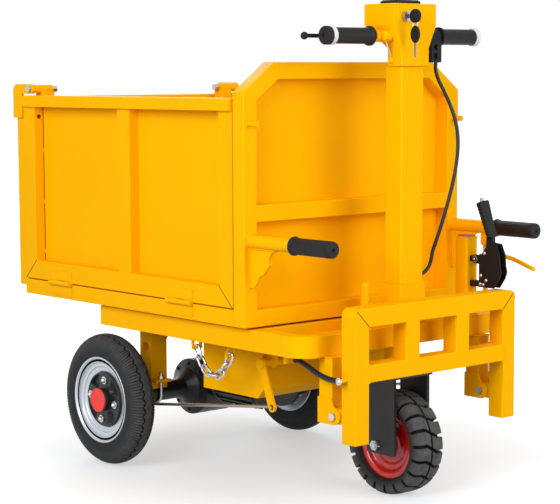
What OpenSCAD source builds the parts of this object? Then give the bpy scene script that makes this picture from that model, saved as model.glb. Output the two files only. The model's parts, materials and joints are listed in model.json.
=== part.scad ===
// Electric three-wheel tipping cart with drop sides, a folding step and a steered front wheel.
// +X points to the operator's end, -Y is the operator's left, +Z is up, the ground is Z = 0.

/* [Hopper] */
// Length of the hopper, tailgate to operator wall
hopper_len = 960; // [860:5:1060]
// Width over the two side gates
hopper_w = 720; // [690:5:780]
// Height of the hopper's underside above the ground
hopper_z = 420; // [410:1:440]
// Height of the operator wall, from the hopper's underside
wall_h = 616; // [560:2:680]
// Height of a side gate
gate_h = 490; // [440:2:500]
// Square tube of the hopper's frame
tube = 40; // [36:1:44]
// Reach of the tipping handles beyond the operator wall
handle_len = 280; // [260:5:320]

/* [Chassis] */
// Length of the chassis frame
chassis_len = 778; // [760:2:800]
// Height of the chassis tube
rail_h = 50; // [44:1:55]
// Width of the chassis tube
rail_w = 40; // [36:1:44]
// Outer radius of the chassis' front corners
corner_r = 60; // [50:1:80]
// Width of the battery box
box_w = 440; // [400:5:450]
// Depth of the battery box
box_h = 143; // [120:1:146]

/* [Wheels] */
// Outer diameter of a rear tyre
rear_d = 340; // [325:1:344]
// Width of a rear tyre
rear_w = 68; // [64:1:72]
// Distance between the middles of the rear tyres
track = 644; // [636:1:650]
// Outer diameter of the front tyre
front_d = 250; // [236:1:262]
// Width of the front tyre
front_w = 90; // [84:1:96]

/* [Steering] */
// Height of the control head's top above the ground
head_z = 1170; // [1120:5:1220]
// Width of the control head
head_w = 140; // [120:2:150]
// Column tube, across the cart
column_w = 76; // [66:1:84]
// Column tube, along the cart
column_t = 54; // [48:1:60]
// Diameter of the handlebar tube
bar_d = 22; // [20:0.5:24]

/* [Step] */
// Square tube of the folding step
step_tube = 45; // [40:1:48]
// Height of the folded step's top above the ground
step_z = 485; // [465:1:490]
// Width over the step's posts
step_w = 540; // [520:2:550]

/* [Hidden] */
$fn = 64;

// Paint and other colours
yellow = [0.98, 0.70, 0.01];
dark = [0.16, 0.17, 0.18];
black = [0.08, 0.08, 0.08];
rubber = [0.18, 0.19, 0.20];
zinc = [0.72, 0.73, 0.74];
red = [0.75, 0.06, 0.05];

// Overrun of a cut, radial play of a turning fit, clearance between moving pieces, sheet metal
over = 1;
play = 0.05;
gap = 3;
sheet_t = 3;
wall_t = 3;

// Bolts and nuts that several pieces share
bolt_d = 12;
bolt_head = 19;
bolt_head_t = 7;
small_pin_d = 8;

// Hopper places along the cart, measured from the middle of the overall length
hanger_proud = 6;
overall_len = hanger_proud + hopper_len + handle_len;
wall_x = overall_len / 2 - handle_len;
wall_in = wall_x - tube;
tail_x = wall_x - hopper_len;
tail_in = tail_x + tube;
base_x = tail_in + gap;
half_w = hopper_w / 2;
base_top = hopper_z + tube;
floor_top = base_top + sheet_t;

// Operator wall: chamfered upper corners and the middle rail's height
wall_top = hopper_z + wall_h;
wall_cut_y = 95;
wall_cut_z = 69;
mid_rise = 246;
mid_z = hopper_z + mid_rise;

// Side gates
gate_tube = 50;
gate_t = 30;
gate_sheet_t = 2;
gate_end_gap = 4;
gate_z = floor_top;
gate_top = gate_z + gate_h;
gate_x = base_x + gate_end_gap;
gate_end = wall_in - gap;
gate_in = half_w - gate_t - gate_sheet_t;
top_rail_h = 30;
top_rail_proud = 8;
inner_gap = 2;

// Gate hinges, at two shares of the gate's length
hinge_shares = [0.194, 0.776];
hinge_len = 94;
hinge_drop = 1.5;
knuckle_d = 13;
knuckle_gap = 0.5;
hinge_pin_d = 6;
hinge_y = half_w + knuckle_d / 2;
hinge_z = gate_z - hinge_drop;
leaf_h = 25;

// Pull pins that lock the gates
gate_pin_d = 12;
pin_inset = 18;
pin_rise = 474;
gate_pin_y = half_w - pin_inset;
gate_pin_z = hopper_z + pin_rise;
pin_knob_d = 14;
pin_knob_t = 6;
pin_travel = 20;
pin_socket = 34;

// Tailgate, hung from a pivot near the top
tail_inset = 10;
tail_rise = 20;
tail_half = half_w - tail_inset;
tail_z = hopper_z + tail_rise;
tail_top = gate_top - gap;
pivot_reach = 36;
pivot_rise = 17;
pivot_x = tail_in + pivot_reach;
pivot_z = gate_top + pivot_rise;
hanger_r = 13;
hanger_h = 90;
hanger_w = 42;
hanger_t = 8;
bush_d = 22;
bush_in = 70;
corner_post_t = 34;

// Tipping handles with their gussets
handle_d = 32;
handle_rise = 203;
handle_y = half_w - tube / 2;
handle_z = hopper_z + handle_rise;
grip_d = 39;
grip_flange_d = 44;
grip_flange_t = 6;
grip_len = 130;
grip_end = 6;
gusset_len = 92;
gusset_h = 108;
gusset_t = 8;
gusset_edge = 14;
scallop_r = 24;

// Chassis places
rail_inset = 20;
deck_gap = 5;
nose_len = 175;
rail_y = half_w - rail_inset;
rail_in = rail_y - rail_w;
rail_z = hopper_z - deck_gap - rail_h;
rail_top = rail_z + rail_h;
chassis_front = wall_x + nose_len;
chassis_rear = chassis_front - chassis_len;
front_in = chassis_front - rail_w;
front_mid = front_in + rail_w / 2;
cross_x = wall_in;
pad_t = 4.5;
pad_d = 33;
peg_d = 22;
peg_y = -122;
peg_h = 110;

// Tipping hinge behind the chassis' rear tube
tip_back = 22;
tip_drop = 22;
tip_x = chassis_rear - tip_back;
tip_z = rail_top - tip_drop;
tip_y = 200;
tip_pin_d = 16;
tip_head_d = 24;
tip_lug_r = 18;
tip_lug_w = 26;
tip_ear_t = 8;
tip_ear_r = 16;
ear_gap = 1;

// Rear axle
axle_in = 13;
axle_x = chassis_rear + axle_in;
axle_z = rear_d / 2;
axle_d = 52;
wheel_y = track / 2;
hub_depth = 50;
hub_in = wheel_y - hub_depth;
plate_d = 190;
plate_t = 8;
spindle_d = 32;
diff_d = 150;
diff_w = 110;
flange_d = 104;
flange_t = 10;
nose_d = 96;
motor_d = 110;
motor_len = 165;
motor_rise = 18;
motor_gap = 90;
motor_z = axle_z + motor_rise;
motor_x = axle_x + motor_gap;
motor_ribs = 16;
motor_rib_h = 5;
motor_rib_t = 4;

// Axle hangers and their U-bolts
hanger_x = 25;
hanger_in = 94;
hanger_y = hub_in - hanger_in;
hanger_half = 26;
hanger_hole_d = 26;
saddle_z = axle_z + axle_d / 2;
flare_w = 32;
flare_h = 55;
seat_w = 44;
seat_t = 8;
u_bolt_d = 9;
u_bolt_r = axle_d / 2 + u_bolt_d / 2 + play;
u_nut_d = 13;
u_nut_t = 8;

// Battery box under the chassis
box_back = 263;
box_x = axle_x + box_back;
box_len = 230;
box_top = rail_z;
box_z = box_top - box_h;
box_cut = 22;
tab_w = 40;
cell_gap = 6;
cell_room = 24;

// Steering head, fork and column
steer_in = 18;
steer_x = chassis_front - steer_in;
stem_d = 50;
head_tube_d = 84;
head_tube_drop = 43;
head_tube_rise = 30;
head_tube_z = rail_z - head_tube_drop;
head_tube_top = rail_top + head_tube_rise;
deck_t = 6;
crown_drop = 75;
crown_z = rail_z - crown_drop;
crown_t = 12;
fork_gap = 7;
fork_y = front_w / 2 + fork_gap;
fork_t = 8;
fork_len = 73;
fork_ahead = 56;
fork_drop = 22;
fork_corner = 8;
fork_nose = 44;
trail = 22;
front_x = steer_x - trail;
front_z = front_d / 2;
collar_d = 76;
axle_bolt_d = 16;
axle_nut = 26;
axle_nut_t = 13;
split_pin_d = 3;
split_pin_len = 36;
column_lead = 5;
column_x = steer_x + column_lead;
turn_gap = 10;
column_z = head_tube_top + turn_gap;
sleeve_h = 60;
sleeve_t = 5;
sleeve_flare = 22;
turntable_d = 110;
turntable_t = 6;

// Control head
head_lead = 35;
head_x1 = column_x + head_lead;
head_len = 101;
head_low_len = 47;
head_low_w = 92;
head_low_h = 145;
head_taper_h = 103;
head_wide_h = 50;
head_low_z = head_z - head_low_h;
head_taper_z = head_z - head_taper_h;
head_wide_z = head_z - head_wide_h;
display_w = 84;
display_len = 60;
display_t = 9;

// Lock and keys
lock_y = -36;
lock_drop = 30;
lock_z = head_z - lock_drop;
lock_d = 24;
lock_len = 12;
key_t = 4;
key_bow_d = 30;
key_blade_w = 8;
key_blade_t = 2;
key_shank = 14;
key_ring_r = 11;
key_ring_d = 1.6;
key_len = 32;

// Handlebar, grips and brake lever
bar_back = 8;
bar_drop = 75;
bar_x = column_x - bar_back;
bar_z = head_z - bar_drop;
bar_half = 240;
grip_in = 105;
hand_grip_d = 34;
hand_flange_d = 46;
hand_flange_t = 6;
throttle_in = 118;
end_ring_d = 40;
end_ring_t = 10;
lever_reach = 54;
lever_x = bar_x - lever_reach;
lever_y = 84;
lever_end_y = 262;
lever_t = 9;
lever_w = 14;
lever_tip_w = 11;
lever_ball_d = 18;
clamp_w = 24;

// Switch block with its two buttons
block_w = 36;
block_len = 34;
block_h = 50;
button_d = 11;
button_gap = 1;
button_out = 6;
button_deep = 8;
button_travel = 3;
button_shares = [0.28, 0.7];

// Folding step and the brackets that it swings in
step_ahead = 57;
step_half = step_w / 2;
step_x = chassis_front + step_ahead;
step_y = step_half - step_tube / 2;
step_axis_back = 25;
step_axis_drop = 133;
step_axis_x = step_x - step_axis_back;
step_axis_z = rail_z - step_axis_drop;
step_foot = 60;
step_bar_drop = 52;
step_bar_z = rail_z - step_bar_drop;
step_bar_h = 40;
step_up_y = 84;
step_round = 22;
clevis_t = 6;
clevis_r = 20;
drop_w = 36;
drop_t = 44;
drop_in = 22;
drop_x = chassis_front - drop_in;
drop_z = step_axis_z - clevis_r;
lug_w = 34;
lug_r = 18;
lug_gap = 1;

// Sleeved spring of the step, from a tab under the left rail to a pin on the step's post
spring_d = 13;
spring_back = 44;
spring_in = 16;
spring_drop = 15;
spring_lead = 14;
spring_reach = 11;
spring_out = 14;
spring_fall = 44;
spring_shares = [[0.27, 0.31], [0.47, 0.72], [0.66, 0.97], [0.84, 1.07], [1, 1]];
spring_start = [front_in - spring_back, spring_in - rail_in, rail_z - spring_drop];
spring_end = [step_x + spring_reach, -step_half - spring_out, rail_z - spring_fall];
spring_way = spring_end - spring_start;
spring_route = concat([spring_start, spring_start + [spring_lead, 0, 0]],
  [for (p = spring_shares)
    spring_start + [p[0] * spring_way[0], p[0] * spring_way[1], p[1] * spring_way[2]]]);
spring_tab_t = 12;
spring_tab_w = 34;
spring_tab_h = 22;
spring_pin_d = 10;
spring_pin_len = 24;
spring_pin_gap = 1;

// Handbrake
brake_post_y = 226;
brake_post_h = 195;
brake_post_t = 40;
brake_ahead = 56;
brake_rise = 92;
brake_axis_x = chassis_front + brake_ahead;
brake_axis_z = rail_top + brake_rise;
quad_t = 3;
quad_gap = 9;
quad_outline = [[-24, -18], [25, -18], [42, 6], [48, 22], [44, 38], [42, 64], [30, 90], [7, 92], [-15, 65],
  [-24, 42]];
quad_ear = [-36, 50];
quad_ear_r = 11;
quad_foot_h = 14;
quad_foot_in = 17;
quad_rivets = [[0, 0], [-6, 66], [-17, 11], [-19, -10], [-9, -11]];
rivet_d = 8;
rivet_h = 1.5;
ear_bolt_d = 12;
ear_bolt_h = 5;
brake_lever_t = 12;
brake_grip_foot = [7, 105];
brake_grip_len = 90;
brake_grip_d = 31;
brake_neck_d = 24;
brake_lean = 20.6;
brake_pin_d = 12;
brake_button_d = 10;
brake_button_out = 9;
brake_button_deep = 30;

// Brake cross shaft, its arms and the rods to the drums
shaft_ahead = 17;
shaft_drop = 50;
shaft_x = box_x + box_len + shaft_ahead;
shaft_z = rail_z - shaft_drop;
shaft_d = 20;
rod_in = 33;
rod_d = 8;
rod_gap = 1;
rod_y0 = hub_in - plate_t - rod_in;
arm_t = 6;
arm_y = rod_y0 + rod_d / 2 + rod_gap + arm_t / 2;
shaft_lug_in = 39;
shaft_lug_y = arm_y - shaft_lug_in;
shaft_lug_t = 10;
shaft_lug_r = 16;
arm_len = 108;
arm_lean = 21;
arm_w = 24;
boss_d = 29;
cap_d = 26;
cap_t = 8;
rod_pin_d = 7;
rod_slack = 4;
cam_ahead = 42;
cam_drop = 20;
rod_rear_x = axle_x + cam_ahead;
rod_rear_z = axle_z - cam_drop;
cam_w = 16;
rod_tail = 19;

// Tipping limit chain under the left rail, with the lean of each link in degrees
link_len = 40;
link_w = 24;
link_d = 6;
link_play = 0.8;
chain_back = 226;
chain_in = 22;
chain_drop = 29;
chain_x = wall_x - chain_back;
chain_y = rail_y - chain_in;
chain_z = rail_z - chain_drop;
chain_lean = [-64, -56, -34, -2, 30, 50, 60];

// Latch of the hopper, hung from the right handle
latch_out = 110;
latch_below = 38;
latch_x = wall_x + latch_out;
latch_z = handle_z - latch_below;
latch_w = 10;
latch_gap = 0.5;
latch_bracket_t = 4;
latch_drop = 212;
latch_arm = 159;
latch_arm_z = 27;
latch_bends = [[0.35, 0], [0.58, 0.2], [0.79, 0.6], [1, 1]];
latch_arm_fall = 26;
latch_foot = 20;
catch_t = 8;
catch_len = 36;
catch_out = 12;
catch_gap = 6;
latch_y = rail_y + latch_w / 2 + inner_gap;

// Rear rim, hub and cap, as radii about the axle and half widths
rim_d = 224;
bead_d = 199;
well_d = 170;
rim_t = 4;
rim_half = 32;
disc_d = 148;
disc_y = 16;
disc_t = 10;
drum_t = 4;
hub_core_d = 98;
cap_base_d = 62;
cap_top_d = 58;
cap_h = 14;
stud_d = 15;
stud_h = 10;
stud_r = 56;
stud_turn = 20;
studs = 4;

// Front rim
front_rim_d = 172;
front_bead_d = 150;
front_rim_half = 32;
front_hub_d = 54;
front_hub_half = 48;
front_web_t = 8;

// Tyres: round of the casing as a share of its width, lugs of the front tread, sipes of the rear tread
casing_share = 0.62;
stagger = 0.5;
lug_rows = 20;
lug_h = 7;
lug_gap_y = 2;
lug_side = 38;
lug_crown = 0.6;
lug_share = 0.84;
groove_w = 4;
groove_h = 4;
groove_y = 11;
sipes = 36;
sipe_share = 0.3;
sipe_h = 5;
sipe_y = 18;

// Control cable from the switch block to the column's foot; a bend is [ahead, out, share of the rise]
cable_d = 9;
cable_sides = 10;
cable_rise = 75;
cable_low = column_z + cable_rise;
cable_top = bar_z - block_h - bar_d / 2;
cable_bends = [[-3, 108, 1], [-3, 108, 0.968], [2, 110, 0.929], [15, 117, 0.869], [32, 125, 0.79],
  [45, 130, 0.704], [51, 130, 0.615], [52, 124, 0.526], [50, 113, 0.427], [44, 101, 0.327],
  [35, 90, 0.228], [25, 82, 0.149], [18, 79, 0.105], [15, 78, 0.071], [12, 73, 0.036], [10, 60, 0.01],
  [9, 42, 0], [9, 38, 0]];
cable_route = [for (p = cable_bends) [column_x + p[0], p[1], cable_low + p[2] * (cable_top - cable_low)]];

// Draws a box between two corners
module box(a, b) { translate(a) cube(b - a); }

// Draws its children on the right and, mirrored, on the left
module pair() {
  children();
  mirror([0, 1, 0]) children();
}

// Rods along the three axes, between two places
module rod_x(y, z, x0, x1, d) { translate([x0, y, z]) rotate([0, 90, 0]) cylinder(d = d, h = x1 - x0); }
module rod_y(x, z, y0, y1, d) { translate([x, y0, z]) rotate([-90, 0, 0]) cylinder(d = d, h = y1 - y0); }
module rod_z(x, y, z0, z1, d) { translate([x, y, z0]) cylinder(d = d, h = z1 - z0); }

// Hexagons across Y and along Z, for bolt heads and nuts
module hex_y(x, z, y0, y1, d) {
  translate([x, y0, z]) rotate([-90, 0, 0]) cylinder(d = d, h = y1 - y0, $fn = 6);
}
module hex_z(x, y, z0, z1, d) { translate([x, y, z0]) cylinder(d = d, h = z1 - z0, $fn = 6); }

// Stands a flat drawing of [x, z] points up as a plate between two Y places
module plate_y(y0, y1) { translate([0, y1, 0]) rotate([90, 0, 0]) linear_extrude(y1 - y0) children(); }

// Stands a flat drawing of [y, z] points up as a plate between two X places
module plate_x(x0, x1) { translate([x0, 0, 0]) rotate([90, 0, 90]) linear_extrude(x1 - x0) children(); }

// Turns a flat profile of [radius, y] points about a line along Y through [x, z], all round or by an angle
module turn_y(x, z, from = 0, angle = 360) {
  translate([x, 0, z]) rotate([-90, 0, 0]) rotate([0, 0, from]) rotate_extrude(angle = angle, $fn = 96)
    children();
}

// Frame outline with rounded front corners
module frame_outline(x0, x1, half, r) {
  translate([x0, -half]) square([x1 - r - x0, 2 * half]);
  translate([x0, -half + r]) square([x1 - x0, 2 * (half - r)]);
  for (s = [-1, 1]) translate([x1 - r, s * (half - r)]) circle(r);
}

// Bar drawn across the cart with its two upper corners rounded
module rounded_bar(half, low, high, r) {
  translate([-half, low]) square([2 * half, high - r - low]);
  translate([r - half, low]) square([2 * (half - r), high - low]);
  for (s = [-1, 1]) translate([s * (half - r), high - r]) circle(r);
}

// Tube swept along a list of places, its rings square to the route and turned to a side direction
function unit(v) = v / norm(v);
function route_dir(p, i) = unit(p[min(i + 1, len(p) - 1)] - p[max(i - 1, 0)]);
function ring(p, i, r, n, side) =
  let (t = route_dir(p, i), u = unit(cross(t, side)), v = cross(t, u))
  [for (k = [0 : n - 1]) p[i] + r * (cos(360 * k / n) * u + sin(360 * k / n) * v)];
module sweep(p, d, n, side) {
  m = len(p);
  polyhedron(
    points = [for (i = [0 : m - 1]) each ring(p, i, d / 2, n, side)],
    faces = concat(
      [[for (k = [n - 1 : -1 : 0]) k]],
      [for (i = [0 : m - 2], k = [0 : n - 1])
        [i * n + k, i * n + (k + 1) % n, (i + 1) * n + (k + 1) % n, (i + 1) * n + k]],
      [[for (k = [0 : n - 1]) (m - 1) * n + k]]));
}

// Welded ring of rectangular tube with its cross tube, hinge ears, pads, peg and brake shaft lugs
module chassis_frame() {
  color(yellow) difference() {
    union() {
      translate([0, 0, rail_z]) linear_extrude(rail_h) difference() {
        frame_outline(chassis_rear, chassis_front, rail_y, corner_r);
        frame_outline(chassis_rear + rail_w, front_in, rail_in, corner_r - rail_w);
      }
      box([cross_x, -rail_in, rail_z], [cross_x + rail_w, rail_in, rail_top]);
      pair() {
        for (s = [-1, 1]) tip_ear(tip_y + s * (tip_lug_w / 2 + ear_gap + tip_ear_t / 2));
        brake_shaft_lug();
        for (x = [cross_x - rail_w, chassis_rear + rail_w])
          rod_z(x, rail_y - rail_w / 2, rail_top, rail_top + pad_t, pad_d);
      }
      rod_z(front_mid, peg_y, rail_top, rail_top + peg_h - peg_d / 2, peg_d);
      translate([front_mid, peg_y, rail_top + peg_h - peg_d / 2]) sphere(d = peg_d);
      latch_catch();
      spring_tab();
      for (i = [0, 1]) chain_eye(i);
    }
    rod_z(steer_x, 0, rail_z - over, rail_top + over, head_tube_d);
    pair() rod_y(tip_x, tip_z, tip_y - tip_lug_w, tip_y + tip_lug_w, tip_pin_d);
    pair() rod_y(shaft_x, shaft_z, shaft_lug_y - over, shaft_lug_y + shaft_lug_t + over, shaft_d + 2 * play);
  }
}

// One ear of a tipping hinge, welded to the rear tube
module tip_ear(y) {
  plate_y(y - tip_ear_t / 2, y + tip_ear_t / 2) {
    translate([tip_x, tip_z - tip_ear_r]) square([chassis_rear + over - tip_x, 2 * tip_ear_r]);
    translate([tip_x, tip_z]) circle(tip_ear_r);
  }
}

// Bent plate under the cross tube that carries the brake cross shaft
module brake_shaft_lug() {
  plate_y(shaft_lug_y, shaft_lug_y + shaft_lug_t) {
    translate([shaft_x, shaft_z]) circle(shaft_lug_r);
    translate([shaft_x - shaft_lug_r, shaft_z]) square([2 * shaft_lug_r, rail_z - shaft_z]);
    translate([shaft_x - shaft_lug_r, rail_z - shaft_d])
      square([cross_x + rail_w - shaft_x + shaft_lug_r, shaft_d]);
  }
}

// Plate on the right rail that the latch hooks under
module latch_catch() {
  x = latch_x - latch_foot - catch_gap;
  z = rail_z + rail_h / 2;
  box([x - catch_len, rail_in, z], [x, rail_y + catch_out, z + catch_t]);
}

// Tab under the left rail that the step's spring hangs on
module spring_tab() {
  x = spring_start[0];
  box([x - spring_tab_t, -rail_in - spring_tab_w / 3, rail_z - spring_tab_h],
    [x, -rail_in + spring_tab_w * 2 / 3, rail_z + over]);
}

// Eye under the left rail that holds an end link of the chain
module chain_eye(i) {
  p = chain_places();
  n = i * (len(p) - 1);
  e = p[n] + (i == 0 ? -1 : 1) * (link_reach(n) + bow_room()) * lean_dir(n);
  translate([e[0], -chain_y, 0]) {
    for (k = [-1, 1]) box([-link_d / 2, (k * link_w - link_d) / 2, e[1] - link_d / 2],
      [link_d / 2, (k * link_w + link_d) / 2, rail_z + over]);
    rod_y(0, e[1], -link_w / 2, link_w / 2, link_d);
  }
}

// Tube that the steering stem turns in, with its deck plate
module steering_head() {
  color(yellow) difference() {
    union() {
      rod_z(steer_x, 0, head_tube_z, head_tube_top, head_tube_d);
      box([cross_x + rail_w, -rail_in / 2, rail_z], [front_in, rail_in / 2, rail_z + deck_t]);
    }
    rod_z(steer_x, 0, head_tube_z - over, head_tube_top + over, stem_d + 2 * play);
  }
}

// Boxes that hold the rear axle under the chassis
module axle_hangers() {
  y0 = hanger_y - hanger_half;
  y1 = hanger_y + hanger_half;
  color(yellow) pair() difference() {
    union() {
      plate_x(axle_x - hanger_x, axle_x + hanger_x) polygon([[y1, rail_z], [y0 - flare_w, rail_z],
        [y0, rail_z - flare_h], [y0, saddle_z - axle_d / 4], [y1, saddle_z - axle_d / 4]]);
      box([axle_x - seat_w, y0, saddle_z + seat_t / 2], [axle_x + seat_w, y1, saddle_z + seat_t * 3 / 2]);
    }
    rod_y(axle_x, axle_z, y0 - over, y1 + over, axle_d);
    rod_y(axle_x, (saddle_z + rail_z) / 2 + hanger_hole_d / 2, y0 - flare_w, y1 + over, hanger_hole_d);
    for (s = [-1, 1]) rod_z(axle_x + s * u_bolt_r, hanger_y, saddle_z, saddle_z + 2 * seat_t, u_bolt_d);
  }
}

// U-bolts that clamp the axle to its hangers, with their nuts
module axle_u_bolts() {
  z = saddle_z + seat_t * 3 / 2;
  color(zinc) pair() {
    translate([axle_x, hanger_y, axle_z]) rotate([90, 180, 0]) rotate_extrude(angle = 180)
      translate([u_bolt_r, 0]) circle(d = u_bolt_d);
    for (s = [-1, 1]) {
      rod_z(axle_x + s * u_bolt_r, hanger_y, axle_z, z + 2 * u_nut_t, u_bolt_d);
      hex_z(axle_x + s * (u_bolt_r + over / 2), hanger_y, z, z + u_nut_t, u_nut_d);
    }
  }
}

// Rear axle casing with the differential, brake plates, spindles and cam levers
module axle_housing() {
  color(black) {
    rod_y(axle_x, axle_z, -hub_in, hub_in, axle_d);
    rod_y(axle_x, axle_z, -diff_w / 2, diff_w / 2, diff_d);
    rod_x(0, motor_z, axle_x, motor_x, nose_d);
    pair() {
      turn_y(axle_x, axle_z) polygon([[0, diff_w / 2], [diff_d / 2, diff_w / 2],
        [flange_d / 2, diff_w / 2 + flange_t], [axle_d / 2, diff_w / 2 + 3 * flange_t],
        [0, diff_w / 2 + 3 * flange_t]]);
      rod_y(axle_x, axle_z, hub_in - plate_t, hub_in, plate_d);
      rod_y(axle_x, axle_z, hub_in, wheel_y + disc_y + disc_t - gap, spindle_d);
      cam_lever();
    }
  }
}

// Brake cam lever beside the brake plate, with a clear way for the rod
module cam_lever() {
  difference() {
    box([rod_rear_x - cam_w / 2, rod_y0 - cam_w / 2, rod_rear_z - 2 * cam_w],
      [rod_rear_x + cam_w / 2, hub_in - plate_t + over, rod_rear_z + cam_w]);
    translate([rod_rear_x, rod_y0, rod_rear_z]) rotate([0, rod_angle(), 0]) rotate([0, 90, 0])
      cylinder(d = rod_d + 2 * rod_gap, h = 4 * cam_w, center = true);
  }
}

// Traction motor on the differential's nose, ribbed along its sides
module drive_motor() {
  color(black) {
    rod_x(0, motor_z, motor_x, motor_x + motor_len - flange_t, motor_d - 2 * motor_rib_h);
    rod_x(0, motor_z, motor_x + motor_len - flange_t, motor_x + motor_len, nose_d);
    for (i = [0 : motor_ribs - 1]) translate([motor_x + flange_t, 0, motor_z])
      rotate([360 * i / motor_ribs, 0, 0])
      translate([0, -motor_rib_t / 2, 0]) cube([motor_len - 3 * flange_t, motor_rib_t, motor_d / 2]);
    rod_x(0, motor_z, motor_x, motor_x + flange_t, motor_d);
  }
}

// Side outline of the battery box, drawn in from its walls by an inset and up past its top
module box_outline(inset, rise) {
  polygon([[box_x + inset, box_z + inset], [box_x + box_len - box_cut - inset / 2, box_z + inset],
    [box_x + box_len - inset, box_z + box_cut + inset / 2], [box_x + box_len - inset, box_top + rise],
    [box_x + inset, box_top + rise]]);
}

// Sheet metal tray for the batteries, hung from the rails by tabs
module battery_box() {
  color(yellow) difference() {
    union() {
      plate_y(-box_w / 2, box_w / 2) box_outline(0, 0);
      for (x = [box_x + tab_w / 2, box_x + box_len - tab_w * 3 / 2])
        box([x, -rail_in - rail_w / 2, box_top - sheet_t], [x + tab_w, rail_in + rail_w / 2, box_top]);
    }
    plate_y(-box_w / 2 + sheet_t, box_w / 2 - sheet_t) box_outline(sheet_t, over);
  }
}

// Four battery blocks side by side
module battery_pack() {
  w = (box_w - 2 * sheet_t - 3 * cell_gap) / 2;
  l = (box_len - 2 * sheet_t - 2 * box_cut - cell_gap) / 2;
  color(black) for (i = [0, 1], s = [-1, 1]) {
    x = box_x + sheet_t + cell_gap + i * (l + cell_gap);
    y = s * (w + cell_gap) / 2;
    box([x, y - w / 2, box_z + sheet_t], [x + l, y + w / 2, box_top - cell_room]);
  }
}

// Drop tubes with clevis plates that the step swings in
module step_brackets() {
  color(yellow) pair() difference() {
    union() {
      box([drop_x, step_y - drop_w / 2, drop_z], [drop_x + drop_t, step_y + drop_w / 2, rail_z]);
      for (s = [-1, 1]) {
        y = step_y + s * (drop_w + clevis_t) / 2;
        plate_y(y - clevis_t / 2, y + clevis_t / 2) {
          translate([step_axis_x, step_axis_z]) circle(clevis_r);
          translate([drop_x, drop_z]) polygon([[0, 0], [step_axis_x - drop_x, 0],
            [step_axis_x - drop_x, 2 * clevis_r], [drop_t, 3 * clevis_r], [0, 3 * clevis_r]]);
        }
      }
    }
    rod_y(step_axis_x, step_axis_z, step_y - drop_w, step_y + drop_w, bolt_d);
    rod_y(step_axis_x, step_axis_z, step_y - drop_w / 2, step_y + drop_w / 2, 2 * (lug_r + lug_gap));
    box([step_axis_x - lug_r - lug_gap, step_y - drop_w / 2, drop_z - over],
      [drop_x + drop_t + over, step_y + drop_w / 2, step_axis_z]);
  }
}

// Bolts that the step turns on
module step_pivot_bolts() {
  out = drop_w / 2 + clevis_t;
  color(zinc) pair() {
    rod_y(step_axis_x, step_axis_z, step_y - out, step_y + out, bolt_d);
    hex_y(step_axis_x, step_axis_z, step_y - out - bolt_head_t, step_y - out, bolt_head);
    hex_y(step_axis_x, step_axis_z, step_y + out, step_y + out + bolt_head_t, bolt_head);
  }
}

// Post that carries the handbrake, with a cap that stands a little proud
module handbrake_post() {
  x = front_mid - brake_post_t / 2;
  y = brake_post_y - brake_post_t / 2;
  top = rail_top + brake_post_h;
  color(yellow) {
    box([x, y, rail_top], [x + brake_post_t, y + brake_post_t, top - sheet_t]);
    translate([-over / 2, -over / 2, 0]) box([x, y, top - sheet_t],
      [x + brake_post_t + over, y + brake_post_t + over, top]);
  }
}

// Handbrake bracket: two cheeks with an ear, spacer blocks that reach the post, rivets and the pivot
module handbrake_quadrant() {
  y = quad_gap + quad_t;
  back = front_mid + brake_post_t / 2 - brake_axis_x;
  low = quad_outline[0][1];
  color(dark) translate([brake_axis_x, brake_post_y, brake_axis_z]) {
    pair() {
      plate_y(quad_gap, y) {
        polygon(quad_outline);
        translate(quad_ear) circle(quad_ear_r);
        translate(quad_ear - [0, quad_ear_r]) square([-quad_ear[0], 2 * quad_ear_r]);
      }
      for (p = quad_rivets) rod_y(p[0], p[1], y, y + rivet_h, rivet_d);
      rod_y(quad_ear[0], quad_ear[1], y, y + ear_bolt_h, ear_bolt_d);
    }
    box([back, -quad_gap, quad_ear[1] - quad_foot_h / 2],
      [quad_ear[0], quad_gap, quad_ear[1] + quad_foot_h / 2]);
    box([back, -quad_gap, low], [-quad_foot_in, quad_gap, low + quad_foot_h]);
    rod_y(0, 0, -quad_gap, quad_gap, brake_pin_d);
  }
}

// Pins of the tipping hinge
module tip_hinge_pins() {
  out = tip_lug_w / 2 + ear_gap + tip_ear_t;
  color(zinc) pair() {
    rod_y(tip_x, tip_z, tip_y - out, tip_y + out, tip_pin_d);
    rod_y(tip_x, tip_z, tip_y + out, tip_y + out + bolt_head_t, tip_head_d);
    rod_y(tip_x, tip_z, tip_y - out - bolt_head_t, tip_y - out, tip_head_d);
  }
}

// Middles of the chain's links: each link pivots inside the bow of the one before
function lean_dir(i) = [cos(chain_lean[i]), sin(chain_lean[i])];
function link_reach(i) = (link_len - (i % 2 == 0 ? link_w : link_d)) / 2;
function bow_room() = link_w / 2 - 3 * link_d / 2 - link_play;
function chain_steps(i) = i == 0 ? [chain_x, chain_z]
  : chain_steps(i - 1) + link_reach(i - 1) * lean_dir(i - 1) + link_reach(i) * lean_dir(i)
    + bow_room() * unit(lean_dir(i - 1) + lean_dir(i));
function chain_places() = [for (i = [0 : len(chain_lean) - 1]) chain_steps(i)];

// One welded chain link lying along X
module chain_link() {
  r = (link_w - link_d) / 2;
  l = (link_len - link_w) / 2;
  for (s = [-1, 1]) {
    rod_x(s * r, 0, -l, l, link_d);
    translate([s * l, 0, 0]) rotate([0, 0, s * 90 - 180]) rotate_extrude(angle = 180)
      translate([r, 0]) circle(d = link_d);
  }
}

// Chain hung under the left rail, its links turned a quarter to each other
module limit_chain() {
  p = chain_places();
  color(zinc) for (i = [0 : len(p) - 1])
    translate([p[i][0], -chain_y, p[i][1]]) rotate([0, -chain_lean[i], 0])
      rotate([i % 2 == 0 ? 90 : 0, 0, 0]) chain_link();
}

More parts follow.
